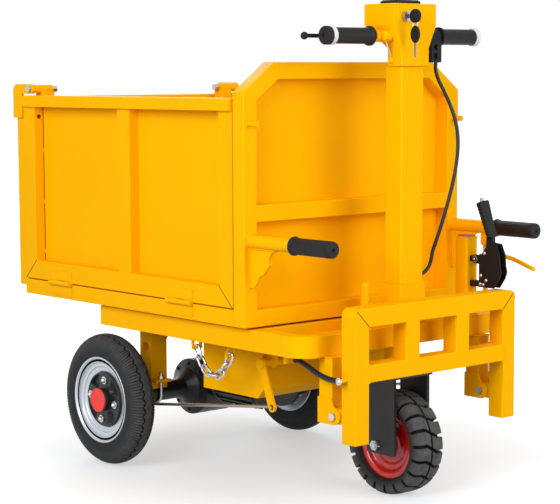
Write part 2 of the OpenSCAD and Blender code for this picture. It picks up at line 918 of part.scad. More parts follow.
// Hopper's floor frame with the lugs of the tipping hinge
module hopper_base() {
  color(yellow) difference() {
    union() {
      for (s = [-1, 1]) box([base_x, s * handle_y - tube / 2, hopper_z],
        [wall_in, s * handle_y + tube / 2, base_top]);
      for (x = [base_x, tip_x - tube / 2, (tip_x + wall_in) / 2])
        box([x, -half_w + tube, hopper_z], [x + tube, half_w - tube, base_top]);
      pair() plate_y(tip_y - tip_lug_w / 2, tip_y + tip_lug_w / 2) {
        translate([tip_x - tip_lug_r, tip_z]) square([2 * tip_lug_r, hopper_z - tip_z]);
        translate([tip_x, tip_z]) circle(tip_lug_r);
      }
    }
    pair() rod_y(tip_x, tip_z, tip_y - tip_lug_w, tip_y + tip_lug_w, tip_pin_d + 2 * play);
  }
}

// Floor sheet of the hopper, notched round the tailgate posts
module hopper_floor() {
  y = gate_in - inner_gap;
  x = pivot_x - tube / 2;
  color(yellow) difference() {
    box([base_x, -y, base_top], [wall_in, y, floor_top]);
    pair() box([x, y - corner_post_t, base_top - over], [x + tube, y + over, floor_top + over]);
  }
}

// Outline of the operator wall, its slanted corners drawn in square to themselves by an inset
module wall_outline(inset) {
  slant = norm([wall_cut_y, wall_cut_z]);
  dy = inset * (slant - wall_cut_z) / wall_cut_y;
  dz = inset * (slant - wall_cut_y) / wall_cut_z;
  y1 = half_w - inset;
  y2 = half_w - wall_cut_y - dz;
  z1 = wall_top - wall_cut_z - dy;
  polygon([[-y1, hopper_z + inset], [y1, hopper_z + inset], [y1, z1], [y2, wall_top - inset],
    [-y2, wall_top - inset], [-y1, z1]]);
}

// Operator wall: a welded tube frame with a middle rail and a sheet on its inner side
module front_wall() {
  color(yellow) difference() {
    union() {
      plate_x(wall_in, wall_x) difference() {
        wall_outline(0);
        wall_outline(tube);
      }
      plate_x(wall_in, wall_in + sheet_t) wall_outline(tube / 2);
      box([wall_in, -half_w + tube, mid_z], [wall_x, half_w - tube, mid_z + tube]);
    }
    pair() rod_x(gate_pin_y, gate_pin_z, wall_in - over, wall_x + over, gate_pin_d + 2 * play);
  }
}

// Inner corner posts with the bushes that the tailgate hangs from
module tailgate_posts() {
  y = gate_in - inner_gap;
  color(yellow) pair() difference() {
    union() {
      box([pivot_x - tube / 2, y - corner_post_t, base_top], [pivot_x + tube / 2, y, pivot_z - bush_d / 4]);
      rod_y(pivot_x, pivot_z, half_w - bush_in, tail_half - ear_gap, bush_d);
    }
    rod_y(pivot_x, pivot_z, half_w - bush_in - over, tail_half + over, bolt_d + 2 * play);
  }
}

// Tipping handles: tubes with scalloped gussets, and the latch bracket on the right one
module tip_handles() {
  color(yellow) {
    pair() {
      rod_x(handle_y, handle_z, wall_x, wall_x + handle_len - grip_end, handle_d);
      plate_y(handle_y - gusset_t / 2, handle_y + gusset_t / 2) translate([wall_x, handle_z]) gusset();
    }
    for (s = [-1, 1]) {
      y = latch_y + s * (latch_w / 2 + latch_gap + latch_bracket_t / 2);
      plate_y(y - latch_bracket_t / 2, y + latch_bracket_t / 2) {
        translate([latch_x - latch_w, latch_z]) square([2 * latch_w, handle_z - latch_z]);
        translate([latch_x, latch_z]) circle(latch_w);
      }
    }
    rod_y(latch_x, latch_z, latch_y - latch_w, latch_y + latch_w, small_pin_d);
  }
}

// Gusset under a handle: a slanted edge with two round scallops cut from it
module gusset() {
  foot = handle_d / 2 + gusset_edge;
  difference() {
    polygon([[0, 0], [gusset_len, 0], [gusset_len, -foot], [gusset_edge, -gusset_h], [0, -gusset_h]]);
    translate([gusset_len, -foot - scallop_r / 2]) circle(scallop_r);
    translate([gusset_edge + scallop_r * 3 / 2, -gusset_h + scallop_r / 3]) circle(scallop_r);
  }
}

// Rubber grips on the tipping handles
module handle_grips() {
  x1 = wall_x + handle_len;
  x0 = x1 - grip_len;
  color(black) pair() difference() {
    union() {
      rod_x(handle_y, handle_z, x0, x0 + grip_flange_t, grip_flange_d);
      rod_x(handle_y, handle_z, x0, x1, grip_d);
    }
    rod_x(handle_y, handle_z, x0 - over, x1 - grip_end, handle_d);
    rod_x(handle_y, handle_z, x1 - 2 * grip_end, x1 + over, grip_end);
  }
}

// Middles of the gate hinges along the gate
function hinge_places() = [for (s = hinge_shares) gate_x + s * (gate_end - gate_x)];

// Lower hinge leaves on the hopper's base, with the middle knuckle and the pin
module gate_hinge_leaves() {
  k = hinge_len / 6 - knuckle_gap;
  low = hinge_z - knuckle_d / 2;
  color(yellow) pair() for (x = hinge_places()) {
    box([x - hinge_len / 2, half_w, low - leaf_h], [x + hinge_len / 2, half_w + sheet_t, low - over]);
    box([x - k, half_w, low - leaf_h / 2], [x + k, half_w + sheet_t, hinge_z]);
    rod_x(hinge_y, hinge_z, x - k, x + k, knuckle_d);
    rod_x(hinge_y, hinge_z, x - hinge_len / 2 - over, x + hinge_len / 2 + over, hinge_pin_d);
  }
}

// A side gate on the right: tube frame, sheet on the inner side, hinge leaves and the pin's socket
module side_gate() {
  mid = (gate_x + gate_end) / 2 + gate_tube / 4;
  y0 = half_w - gate_t;
  color(yellow) difference() {
    union() {
      box([gate_x, y0, gate_z], [gate_end, half_w, gate_z + gate_tube]);
      for (x = [gate_x, mid - gate_tube / 2, gate_end - gate_tube])
        box([x, y0, gate_z], [x + gate_tube, half_w, gate_top - top_rail_h / 2]);
      plate_y(gate_in, half_w + top_rail_proud) {
        translate([gate_x + top_rail_h / 2, gate_top - top_rail_h])
          square([gate_end - gate_x - top_rail_h / 2, top_rail_h]);
        translate([gate_x + top_rail_h / 2, gate_top - top_rail_h / 2]) circle(d = top_rail_h);
      }
      box([gate_x, gate_in, gate_z], [gate_end, y0 + over, gate_top - top_rail_h / 2]);
      for (x = hinge_places()) gate_leaf(x);
    }
    for (x = hinge_places()) rod_x(hinge_y, hinge_z, x - hinge_len, x + hinge_len, hinge_pin_d + 2 * play);
    rod_x(gate_pin_y, gate_pin_z, gate_end - pin_socket, gate_end + over, gate_pin_d + 2 * over);
  }
}

// Upper hinge leaf on a gate, with its two outer knuckles
module gate_leaf(x) {
  k = hinge_len / 3;
  high = hinge_z + knuckle_d / 2;
  box([x - hinge_len / 2, half_w - over, high + over], [x + hinge_len / 2, half_w + sheet_t, high + leaf_h]);
  for (s = [-1, 1]) {
    box([x + s * k - k / 2, half_w, hinge_z], [x + s * k + k / 2, half_w + sheet_t, high + leaf_h / 2]);
    rod_x(hinge_y, hinge_z, x + s * k - k / 2, x + s * k + k / 2, knuckle_d);
  }
}

module left_gate() { mirror([0, 1, 0]) side_gate(); }
module right_gate() { side_gate(); }

// A pull pin through the operator wall's post, drawn out
module gate_pin() {
  x = wall_x + pin_travel + over;
  color(zinc) {
    rod_x(gate_pin_y, gate_pin_z, wall_in + over, x, gate_pin_d);
    rod_x(gate_pin_y, gate_pin_z, x, x + pin_knob_t, pin_knob_d);
  }
}

module left_gate_pin() { mirror([0, 1, 0]) gate_pin(); }
module right_gate_pin() { gate_pin(); }

// Tailgate: tube frame with two middle posts and a sheet on its inner side
module tailgate() {
  color(yellow) {
    plate_x(tail_x, tail_in) difference() {
      translate([-tail_half, tail_z]) square([2 * tail_half, tail_top - tail_z]);
      translate([-tail_half + tube, tail_z + tube])
        square([2 * (tail_half - tube), tail_top - tail_z - 2 * tube]);
    }
    for (s = [-1, 1]) box([tail_x, s * tail_half / 3 - tube / 2, tail_z + tube],
      [tail_in, s * tail_half / 3 + tube / 2, tail_top - tube]);
    box([tail_in - sheet_t, -tail_half + tube / 2, tail_z + tube / 2],
      [tail_in, tail_half - tube / 2, tail_top - tube / 2]);
  }
}

// Bent hanger plates on the tailgate's ends, rounded at the back corner and at the pivot
module tailgate_hangers() {
  x = tail_x - hanger_proud;
  top = pivot_z + hanger_r;
  color(yellow) pair() difference() {
    plate_y(tail_half, tail_half + hanger_t) {
      translate([x, top - hanger_h]) square([hanger_w, hanger_h - hanger_w / 2]);
      translate([x + hanger_w / 2, pivot_z - hanger_r]) square([pivot_x - x - hanger_w / 2, 2 * hanger_r]);
      translate([x + hanger_w / 2, top - hanger_w / 2]) circle(d = hanger_w);
      translate([pivot_x, pivot_z]) circle(hanger_r);
    }
    rod_y(pivot_x, pivot_z, tail_half - over, tail_half + hanger_t + over, bolt_d);
  }
}

// Bolts that the tailgate hangs on
module tailgate_pivot_bolts() {
  y1 = tail_half + hanger_t;
  y0 = half_w - bush_in - over;
  color(zinc) pair() {
    rod_y(pivot_x, pivot_z, y0, y1, bolt_d);
    hex_y(pivot_x, pivot_z, y1, y1 + bolt_head_t, bolt_head);
    hex_y(pivot_x, pivot_z, y0 - 2 * bolt_head_t, y0, bolt_head);
  }
}

// Upper edge of the latch lever's bent arm
function latch_edge() = [for (p = latch_bends) [latch_arm * p[0], -latch_arm_z - latch_arm_fall * p[1]]];

// Release lever of the hopper's latch with its hooked rod, drawn released
module latch_lever() {
  edge = latch_edge();
  n = len(edge);
  h = latch_w / 2;
  color(yellow) difference() {
    plate_y(latch_y - h, latch_y + h) translate([latch_x, latch_z]) {
      circle(latch_w);
      polygon(concat([[-h, 0], [-h, latch_w - latch_drop], [-latch_foot, latch_w - latch_drop],
        [-latch_foot, -latch_drop], [h, -latch_drop], [h, -latch_arm_z - latch_w]],
        [for (p = edge) p - [0, latch_w]], [for (i = [n - 1 : -1 : 0]) edge[i]],
        [[h, h - latch_arm_z], [h, 0]]));
    }
    rod_y(latch_x, latch_z, latch_y - latch_w, latch_y + latch_w, small_pin_d + 2 * play);
  }
}

// Column tube in its flared foot, on a turntable plate
module steering_column() {
  x0 = column_x - column_t / 2;
  x1 = column_x + column_t / 2;
  y = column_w / 2;
  color(yellow) {
    difference() {
      box([x0, -y, column_z + turntable_t], [x1, y, head_low_z]);
      box([x0 + wall_t, -y + wall_t, column_z + sleeve_h], [x1 - wall_t, y - wall_t, head_low_z + over]);
    }
    box([x0 - sleeve_t, -y - sleeve_t, column_z], [x1 + sleeve_t, y + sleeve_t, column_z + sleeve_h]);
    pair() plate_y(y, y + sleeve_t) polygon([[x0, column_z], [x0 - sleeve_t - sleeve_flare, column_z],
      [x0 - sleeve_t, column_z + sleeve_h], [x0, column_z + sleeve_h]]);
    rod_z(steer_x, 0, column_z - turntable_t, column_z, turntable_d);
  }
}

// Control head, wide at the top, narrowing behind and at its sides
module head_box() {
  b = head_x1 - head_len;
  c = head_x1 - head_low_len;
  y1 = head_w / 2;
  y2 = head_low_w / 2;
  color(yellow) difference() {
    intersection() {
      plate_y(-y1, y1) polygon([[head_x1, head_low_z], [head_x1, head_z], [b, head_z], [b, head_wide_z],
        [c, head_taper_z], [c, head_low_z]]);
      plate_x(b, head_x1) polygon([[-y2, head_low_z], [y2, head_low_z], [y2, head_taper_z], [y1, head_wide_z],
        [y1, head_z], [-y1, head_z], [-y1, head_wide_z], [-y2, head_taper_z]]);
    }
    rod_y(bar_x, bar_z, -head_w, head_w, bar_d);
  }
}

// Battery gauge on top of the head
module display() {
  x = head_x1 - head_len / 2;
  color(dark) box([x - display_len / 2, -display_w / 2, head_z],
    [x + display_len / 2, display_w / 2, head_z + display_t]);
}

// Handlebar tube through the head, with the brake lever's perch and pivot
module handlebar() {
  color(yellow) {
    rod_y(bar_x, bar_z, -bar_half, bar_half, bar_d);
    rod_y(bar_x, bar_z, -lever_y - clamp_w / 2, -lever_y + clamp_w / 2, bar_d + 2 * wall_t);
    for (s = [-1, 1]) {
      z = bar_z + s * (lever_t + over + wall_t) / 2;
      box([lever_x, -lever_y - lever_w / 2, z - wall_t / 2], [bar_x, -lever_y + lever_w / 2, z + wall_t / 2]);
      rod_z(lever_x, -lever_y, z - wall_t / 2, z + wall_t / 2, lever_w);
    }
    rod_z(lever_x, -lever_y, bar_z - lever_t, bar_z + lever_t, small_pin_d);
  }
}

// A grip on the right half of the bar: flange, body and end ring, bored for the bar
module bar_grip(inner, bore) {
  end = bar_half + over;
  color(black) difference() {
    union() {
      rod_y(bar_x, bar_z, inner, inner + hand_flange_t, hand_flange_d);
      rod_y(bar_x, bar_z, inner, end, hand_grip_d);
      rod_y(bar_x, bar_z, end, end + end_ring_t, end_ring_d);
    }
    rod_y(bar_x, bar_z, inner - over, bar_half + over / 2, bore);
  }
}

module left_grip() { mirror([0, 1, 0]) bar_grip(grip_in, bar_d); }
module throttle_grip() { bar_grip(throttle_in, bar_d + 2 * play); }

// Fork: crown, two blades, the bearing collar and the stem
module fork() {
  color(dark) difference() {
    union() {
      box([front_x - fork_len / 2, -fork_y - fork_t, crown_z],
        [steer_x + fork_nose, fork_y + fork_t, crown_z + crown_t]);
      pair() plate_y(fork_y, fork_y + fork_t) {
        for (x = [front_x - fork_len / 2 + fork_corner, front_x + fork_ahead - fork_corner])
          translate([x, front_z - fork_drop + fork_corner]) circle(fork_corner);
        polygon([[front_x - fork_len / 2 + fork_corner, front_z - fork_drop],
          [front_x + fork_ahead - fork_corner, front_z - fork_drop],
          [front_x + fork_ahead, front_z - fork_drop + fork_corner], [front_x + fork_ahead, crown_z + crown_t],
          [front_x - fork_len / 2, crown_z + crown_t],
          [front_x - fork_len / 2, front_z - fork_drop + fork_corner]]);
      }
      rod_z(steer_x, 0, crown_z, head_tube_z - over, collar_d);
      rod_z(steer_x, 0, crown_z, column_z - turntable_t, stem_d);
    }
    rod_y(front_x, front_z, -2 * fork_y, 2 * fork_y, axle_bolt_d);
  }
}

// Axle bolt of the front wheel with its nuts and split pin
module front_axle_bolt() {
  y = fork_y + fork_t;
  color(zinc) {
    rod_y(front_x, front_z, -y - axle_nut_t - split_pin_d, y + axle_nut_t, axle_bolt_d);
    hex_y(front_x, front_z, -y - axle_nut_t, -y, axle_nut);
    hex_y(front_x, front_z, y, y + axle_nut_t, axle_nut);
    rod_x(-y - axle_nut_t + split_pin_d, front_z, front_x - split_pin_len / 2, front_x + split_pin_len / 2,
      split_pin_d);
  }
}

// Lock barrel on the head's face, with a round well for the key
module key_switch() {
  color(zinc) difference() {
    rod_x(lock_y, lock_z, head_x1, head_x1 + lock_len, lock_d);
    rod_x(lock_y, lock_z, head_x1 + lock_len / 4, head_x1 + lock_len + over, key_blade_w + 2 * over);
  }
}

// Key in the lock with a second key on a ring
module ignition_key() {
  x = head_x1 + lock_len + key_shank + key_bow_d / 2;
  ring_z = lock_z - key_bow_d / 2 - key_ring_r + key_ring_d;
  color(black) {
    box([head_x1 + lock_len / 2, lock_y - key_blade_t / 2, lock_z - key_blade_w / 2],
      [x - key_bow_d / 3, lock_y + key_blade_t / 2, lock_z + key_blade_w / 2]);
    rod_y(x, lock_z, lock_y - key_t / 2, lock_y + key_t / 2, key_bow_d);
    translate([x, lock_y, ring_z]) rotate([0, 90, 0]) rotate_extrude()
      translate([key_ring_r, 0]) circle(d = key_ring_d);
    spare_key(x, ring_z - key_ring_r + key_ring_d);
  }
}

// Second key hung from the ring, its top at a height
module spare_key(x, z) {
  rod_x(lock_y, z - key_bow_d / 2, x - key_t / 2, x + key_t / 2, key_bow_d);
  box([x - key_blade_t / 2, lock_y - key_blade_w / 2, z - key_bow_d - key_len],
    [x + key_blade_t / 2, lock_y + key_blade_w / 2, z - key_bow_d / 2]);
}

// Switch block under the bar, beside the throttle
module switch_block() {
  y1 = throttle_in - over;
  x1 = bar_x + block_len / 2;
  color(black) difference() {
    union() {
      rod_y(bar_x, bar_z, y1 - block_w, y1, hand_grip_d);
      box([bar_x - block_len / 2, y1 - block_w, bar_z - block_h - bar_d / 2], [x1, y1, bar_z]);
    }
    rod_y(bar_x, bar_z, y1 - block_w - over, y1 + over, bar_d);
    for (s = button_shares) rod_x(y1 - block_w / 2, button_z(s),
      x1 - button_deep - button_travel - button_gap, x1 + over,
      button_d + 2 * button_gap);
  }
}

// Height of a push button, at a share of the switch block's height from its top
function button_z(share) = bar_z - bar_d / 2 - block_h * share;

// One push button, standing out of the block
module push_button(share) {
  x = bar_x + block_len / 2;
  color(dark) rod_x(throttle_in - over - block_w / 2, button_z(share), x - button_deep, x + button_out,
    button_d);
}

module horn_button() { push_button(button_shares[0]); }
module light_button() { push_button(button_shares[1]); }

// Sheathed cable from the switch block to the column's foot
module control_cable() { color(black) sweep(cable_route, cable_d, cable_sides, [1, 0, 0]); }

// Brake lever in front of the left grip, with its ball end
module brake_lever() {
  color(black) {
    difference() {
      translate([lever_x, -lever_y, bar_z - lever_t / 2]) linear_extrude(lever_t) {
        circle(d = lever_w);
        polygon([[-lever_w / 2, 0], [lever_w / 2, 0], [lever_tip_w / 2, lever_y - lever_end_y],
          [-lever_tip_w / 2, lever_y - lever_end_y]]);
      }
      rod_z(lever_x, -lever_y, bar_z - lever_t, bar_z + lever_t, small_pin_d + 2 * play);
    }
    translate([lever_x, -lever_end_y, bar_z]) sphere(d = lever_ball_d);
  }
}

// Front rim: turned bead seats, web and hub, bored for the axle bolt
module front_rim() {
  h = front_rim_half;
  in_r = front_bead_d / 2 - front_web_t;
  color(red) turn_y(front_x, front_z) polygon([
    [axle_bolt_d / 2 + play, -front_hub_half], [front_hub_d / 2, -front_hub_half],
    [front_hub_d / 2, -front_web_t],
    [in_r, -front_web_t], [in_r, -h], [front_rim_d / 2, -h], [front_rim_d / 2, -h + rim_t],
    [front_bead_d / 2, -h + rim_t], [front_bead_d / 2, h - rim_t], [front_rim_d / 2, h - rim_t],
    [front_rim_d / 2, h], [in_r, h], [in_r, front_web_t], [front_hub_d / 2, front_web_t],
    [front_hub_d / 2, front_hub_half], [axle_bolt_d / 2 + play, front_hub_half]]);
}

// Tyre section: the beads between the rim's flanges and the round casing outside them
module tyre_section(bead, rim, outer, w, seat) {
  translate([bead, -seat]) square([outer - bead - w / 4, 2 * seat]);
  intersection() {
    translate([outer - w * casing_share, 0]) circle(w * casing_share);
    translate([rim, -w / 2]) square([outer - rim, w]);
  }
}

// Front tyre with two staggered rows of blocks standing on its casing
module front_tyre() {
  r = front_d / 2;
  step = 360 / lug_rows;
  color(rubber) {
    turn_y(front_x, front_z)
      tyre_section(front_bead_d / 2, front_rim_d / 2, r - lug_h, front_w, front_rim_half - rim_t);
    for (i = [0 : lug_rows - 1], s = [-1, 1])
      turn_y(front_x, front_z, (i + (s < 0 ? 0 : stagger)) * step, lug_share * step) front_lug(s);
  }
}

// Section of one tread block, on one side of the middle
module front_lug(s) {
  r = front_d / 2;
  polygon([[r - 2 * lug_h, s * lug_gap_y], [r, s * lug_gap_y], [r - lug_h / 4, s * lug_side * lug_crown],
    [r - lug_h * lug_crown, s * lug_side], [r - 3 * lug_h, s * front_w / 2], [r - 4 * lug_h, s * lug_side]]);
}

// Rear rim on the right: flanges, bead seats, drop well and the web that bolts to the hub
module rear_rim() {
  in_r = disc_d / 2 - rim_t;
  seat_r = bead_d / 2;
  h = rim_half;
  color(zinc) translate([0, wheel_y, 0]) turn_y(axle_x, axle_z) polygon([
    [in_r, -h + rim_t], [seat_r - rim_t, -h + rim_t], [seat_r - rim_t, -h], [rim_d / 2, -h],
    [rim_d / 2, -h + rim_t],
    [seat_r, -h + rim_t], [seat_r, -disc_y], [well_d / 2, -disc_y / 2], [well_d / 2, disc_y / 2],
    [seat_r, disc_y],
    [seat_r, h - rim_t], [rim_d / 2, h - rim_t], [rim_d / 2, h], [seat_r - rim_t, h],
    [seat_r - rim_t, disc_y + rim_t],
    [in_r, disc_y]]);
}

// Rear tyre on the right: two grooves all round and sipes across its shoulders
module rear_tyre() {
  r = rear_d / 2;
  step = 360 / sipes;
  color(rubber) translate([0, wheel_y, 0]) difference() {
    turn_y(axle_x, axle_z) difference() {
      tyre_section(bead_d / 2, rim_d / 2, r, rear_w, rim_half - rim_t);
      for (s = [-1, 1]) translate([r - groove_h - groove_w / 2, s * groove_y - groove_w / 2])
        square([2 * groove_h, groove_w]);
    }
    for (i = [0 : sipes - 1], s = [-1, 1])
      turn_y(axle_x, axle_z, (i + (s < 0 ? 0 : stagger)) * step, sipe_share * step) polygon([
        [r + over, s * sipe_y], [r - sipe_h, s * sipe_y], [r - sipe_h, s * (rear_w / 2 + over)],
        [r + over, s * (rear_w / 2 + over)]]);
  }
}

// Hub with the brake drum, and the bolts that hold the rim
module rear_hub() {
  r = disc_d / 2 - rim_t;
  drum_y = -rim_half - rim_t;
  face = disc_y + disc_t;
  color(black) translate([0, wheel_y, 0]) {
    turn_y(axle_x, axle_z) polygon([[spindle_d / 2 + play, -disc_y], [spindle_d / 2 + play, face], [r, face],
      [r, drum_y], [r - drum_t, drum_y], [r - drum_t, 0], [hub_core_d / 2, -disc_y]]);
    for (i = [0 : studs - 1]) translate([axle_x, face, axle_z]) rotate([0, 360 * i / studs + stud_turn, 0])
      hex_y(stud_r, 0, 0, stud_h, stud_d);
  }
}

// Flat dust cap of a rear hub
module hub_cap() {
  r = cap_base_d / 2;
  color(red) translate([0, wheel_y + disc_y + disc_t, 0]) turn_y(axle_x, axle_z) polygon([[0, 0], [r, 0],
    [r, cap_h / 3], [(r + cap_top_d / 2) / 2, cap_h / 2], [cap_top_d / 2, cap_h], [0, cap_h]]);
}

module left_tyre() { mirror([0, 1, 0]) rear_tyre(); }
module left_rim() { mirror([0, 1, 0]) rear_rim(); }
module left_hub() { mirror([0, 1, 0]) rear_hub(); }
module left_hub_cap() { mirror([0, 1, 0]) hub_cap(); }
module right_tyre() { rear_tyre(); }
module right_rim() { rear_rim(); }
module right_hub() { rear_hub(); }
module right_hub_cap() { hub_cap(); }

// Folding step, drawn folded up: posts, top bar, lower bar, two uprights and the pivot lugs
module step_frame() {
  x0 = step_x;
  x1 = step_x + step_tube;
  half = step_tube / 2;
  color(yellow) difference() {
    union() {
      for (s = [-1, 1]) {
        box([x0, s * step_y - half, step_axis_z - step_foot], [x1, s * step_y + half, step_z - step_tube]);
        box([x0, s * step_up_y - half, step_bar_z], [x1, s * step_up_y + half, step_z - step_tube]);
        plate_y(s * step_y - lug_w / 2, s * step_y + lug_w / 2) {
          translate([step_axis_x, step_axis_z - lug_r]) square([x0 + over - step_axis_x, 2 * lug_r]);
          translate([step_axis_x, step_axis_z]) circle(lug_r);
        }
      }
      plate_x(x0, x1) rounded_bar(step_half, step_z - step_tube, step_z, step_round);
      box([x0, -step_y, step_bar_z], [x1, step_y, step_bar_z + step_bar_h]);
      rod_y(spring_end[0] + spring_pin_d / 2 + spring_pin_gap, spring_end[2], -step_half - spring_pin_len,
        -step_half + over, spring_pin_d);
    }
    pair() rod_y(step_axis_x, step_axis_z, step_y - drop_w, step_y + drop_w, bolt_d + 2 * play);
  }
}

// Sleeved tension spring that lifts the step
module step_spring() { color(black) sweep(spring_route, spring_d, cable_sides, [0, 1, 0]); }

// Carries its children to the foot of the handbrake's grip, turned along it
module brake_grip_place() {
  translate([brake_axis_x + brake_grip_foot[0], brake_post_y, brake_axis_z + brake_grip_foot[1]])
    rotate([0, -brake_lean, 0]) children();
}

// Handbrake lever between the bracket's cheeks, with its grip
module handbrake_lever() {
  foot = brake_grip_foot;
  color(dark) difference() {
    union() {
      translate([brake_axis_x, brake_post_y, brake_axis_z]) plate_y(-brake_lever_t / 2, brake_lever_t / 2) {
        circle(brake_pin_d);
        polygon([[-brake_pin_d, 0], [brake_pin_d, 0], foot + [brake_lever_t / 2, brake_lever_t],
          foot + [-brake_lever_t, brake_lever_t]]);
      }
      brake_grip_place() cylinder(d1 = brake_neck_d, d2 = brake_grip_d, h = brake_grip_len);
    }
    rod_y(brake_axis_x, brake_axis_z, brake_post_y - quad_gap, brake_post_y + quad_gap,
      brake_pin_d + 2 * play);
    brake_grip_place() translate([0, 0, brake_grip_len - brake_button_deep])
      cylinder(d = brake_button_d + 2 * play, h = 2 * brake_button_deep);
  }
}

// Release button of the handbrake, in the end of its grip
module handbrake_button() {
  color(zinc) brake_grip_place() translate([0, 0, brake_grip_len - brake_button_deep / 2])
    cylinder(d = brake_button_d, h = brake_button_deep / 2 + brake_button_out);
}

// End of a brake arm, and the tilt of the brake rods from the drum up to it
function arm_end() = [shaft_x + arm_len * sin(arm_lean), shaft_z - arm_len * cos(arm_lean)];
function rod_angle() = -atan2(arm_end()[1] - rod_rear_z, arm_end()[0] - rod_rear_x);

// Brake cross shaft with its two arms and end caps
module brake_shaft() {
  e = arm_end();
  color(yellow) difference() {
    union() {
      rod_y(shaft_x, shaft_z, -arm_y, arm_y, shaft_d);
      pair() {
        plate_y(arm_y - arm_t / 2, arm_y + arm_t / 2) {
          translate([shaft_x, shaft_z]) circle(d = boss_d);
          translate(e) circle(d = arm_w);
          translate([shaft_x, shaft_z]) rotate(arm_lean) translate([-arm_w / 2, -arm_len])
            square([arm_w, arm_len]);
        }
        rod_y(shaft_x, shaft_z, arm_y, arm_y + cap_t, cap_d);
      }
    }
    pair() rod_y(e[0], e[1], arm_y - arm_t, arm_y + arm_t, rod_pin_d + 2 * rod_slack);
  }
}

// Brake rods from the arms to the cam levers, each with a crank pin in the arm's hole
module brake_rods() {
  e = arm_end();
  l = norm([e[0] - rod_rear_x, e[1] - rod_rear_z]);
  color(zinc) pair() {
    translate([e[0], rod_y0, e[1]]) rotate([0, rod_angle(), 0]) rod_x(0, 0, -l - rod_tail, rod_d / 2, rod_d);
    rod_y(e[0], e[1], rod_y0, arm_y + arm_t, rod_pin_d);
  }
}

chassis_frame();
steering_head();
axle_hangers();
axle_u_bolts();
axle_housing();
drive_motor();
battery_box();
battery_pack();
step_brackets();
step_pivot_bolts();
handbrake_post();
handbrake_quadrant();
tip_hinge_pins();
limit_chain();
hopper_base();
hopper_floor();
front_wall();
tailgate_posts();
tip_handles();
handle_grips();
gate_hinge_leaves();
left_gate();
right_gate();
left_gate_pin();
right_gate_pin();
tailgate();
tailgate_hangers();
tailgate_pivot_bolts();
latch_lever();
steering_column();
head_box();
display();
handlebar();
left_grip();
fork();
front_axle_bolt();
key_switch();
switch_block();
control_cable();
throttle_grip();
brake_lever();
ignition_key();
horn_button();
light_button();
front_rim();
front_tyre();
left_tyre();
left_rim();
left_hub();
left_hub_cap();
right_tyre();
right_rim();
right_hub();
right_hub_cap();
step_frame();
step_spring();
handbrake_lever();
handbrake_button();
brake_shaft();
brake_rods();
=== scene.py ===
# %% [markdown]
# # A three-wheel tipping cart, dressed for the studio
# The frame that is loaded here already holds every solid of the cart at its true size.
# This lesson rounds the steelwork, cuts real tread into the tyres, adds welds, wires and small hardware,
# and gives each surface a procedural finish.

# %% Load the cart
import json
import math

import bmesh
import bpy
from mathutils import Matrix, Vector


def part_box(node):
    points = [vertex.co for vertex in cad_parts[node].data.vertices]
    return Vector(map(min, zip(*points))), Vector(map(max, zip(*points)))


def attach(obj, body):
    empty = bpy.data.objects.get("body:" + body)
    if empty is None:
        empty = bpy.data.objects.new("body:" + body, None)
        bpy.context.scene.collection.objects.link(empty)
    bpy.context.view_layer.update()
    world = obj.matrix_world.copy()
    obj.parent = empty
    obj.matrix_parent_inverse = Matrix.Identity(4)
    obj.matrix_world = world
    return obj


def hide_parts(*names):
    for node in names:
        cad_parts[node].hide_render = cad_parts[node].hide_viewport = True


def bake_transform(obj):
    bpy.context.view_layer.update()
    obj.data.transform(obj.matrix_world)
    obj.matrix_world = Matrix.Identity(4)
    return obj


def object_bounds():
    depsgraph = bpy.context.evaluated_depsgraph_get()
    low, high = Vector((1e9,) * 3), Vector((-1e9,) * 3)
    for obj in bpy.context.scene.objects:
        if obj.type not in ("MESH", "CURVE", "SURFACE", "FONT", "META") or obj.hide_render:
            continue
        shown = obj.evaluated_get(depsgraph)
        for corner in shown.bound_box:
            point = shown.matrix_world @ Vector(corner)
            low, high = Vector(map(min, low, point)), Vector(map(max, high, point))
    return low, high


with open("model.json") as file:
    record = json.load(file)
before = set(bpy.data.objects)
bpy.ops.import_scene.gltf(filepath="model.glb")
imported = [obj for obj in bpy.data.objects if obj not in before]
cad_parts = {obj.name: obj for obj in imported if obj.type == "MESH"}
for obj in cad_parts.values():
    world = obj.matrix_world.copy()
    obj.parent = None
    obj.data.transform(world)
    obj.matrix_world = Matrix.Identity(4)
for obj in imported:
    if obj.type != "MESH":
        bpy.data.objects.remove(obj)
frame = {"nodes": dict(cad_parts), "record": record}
cad_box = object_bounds()
nodes = frame["nodes"]
body_of_node = {n: b for b, members in frame["record"]["behaviour"]["bodies"].items() for n in members}
scene = bpy.context.scene
scene.view_settings.view_transform = "Standard"
print("nodes:", len(nodes), "box:", [round(c, 3) for c in cad_box[1] - cad_box[0]])

# %% [markdown]
# ## Camera
# The photograph was taken with a long lens, a little above the axle line and well to the operator's left.
# A camera could be tracked to an empty, but writing its three axes down keeps the small roll exact.

# %% Place the camera
PHOTO_WIDTH = 560
FOCAL_PIXELS = 1751.7
SHIFT_PIXELS = (4.9, 10.3)
SENSOR = 36.0
AZIMUTH, ELEVATION, ROLL = 48.8, 6.2, -0.2
CAMERA_PLACE = (3.4183, -2.9573, 1.0128)


def camera_axes(azimuth, elevation, roll):
    """Right, up and back directions of a camera that looks at the cart from an azimuth and an elevation."""
    a, e, r = math.radians(azimuth), math.radians(elevation), math.radians(roll)
    back = Vector((math.sin(a) * math.cos(e), -math.cos(a) * math.cos(e), math.sin(e)))
    right = Vector((math.cos(a), math.sin(a), 0))
    up = back.cross(right)
    return right * math.cos(r) + up * math.sin(r), up * math.cos(r) - right * math.sin(r), back


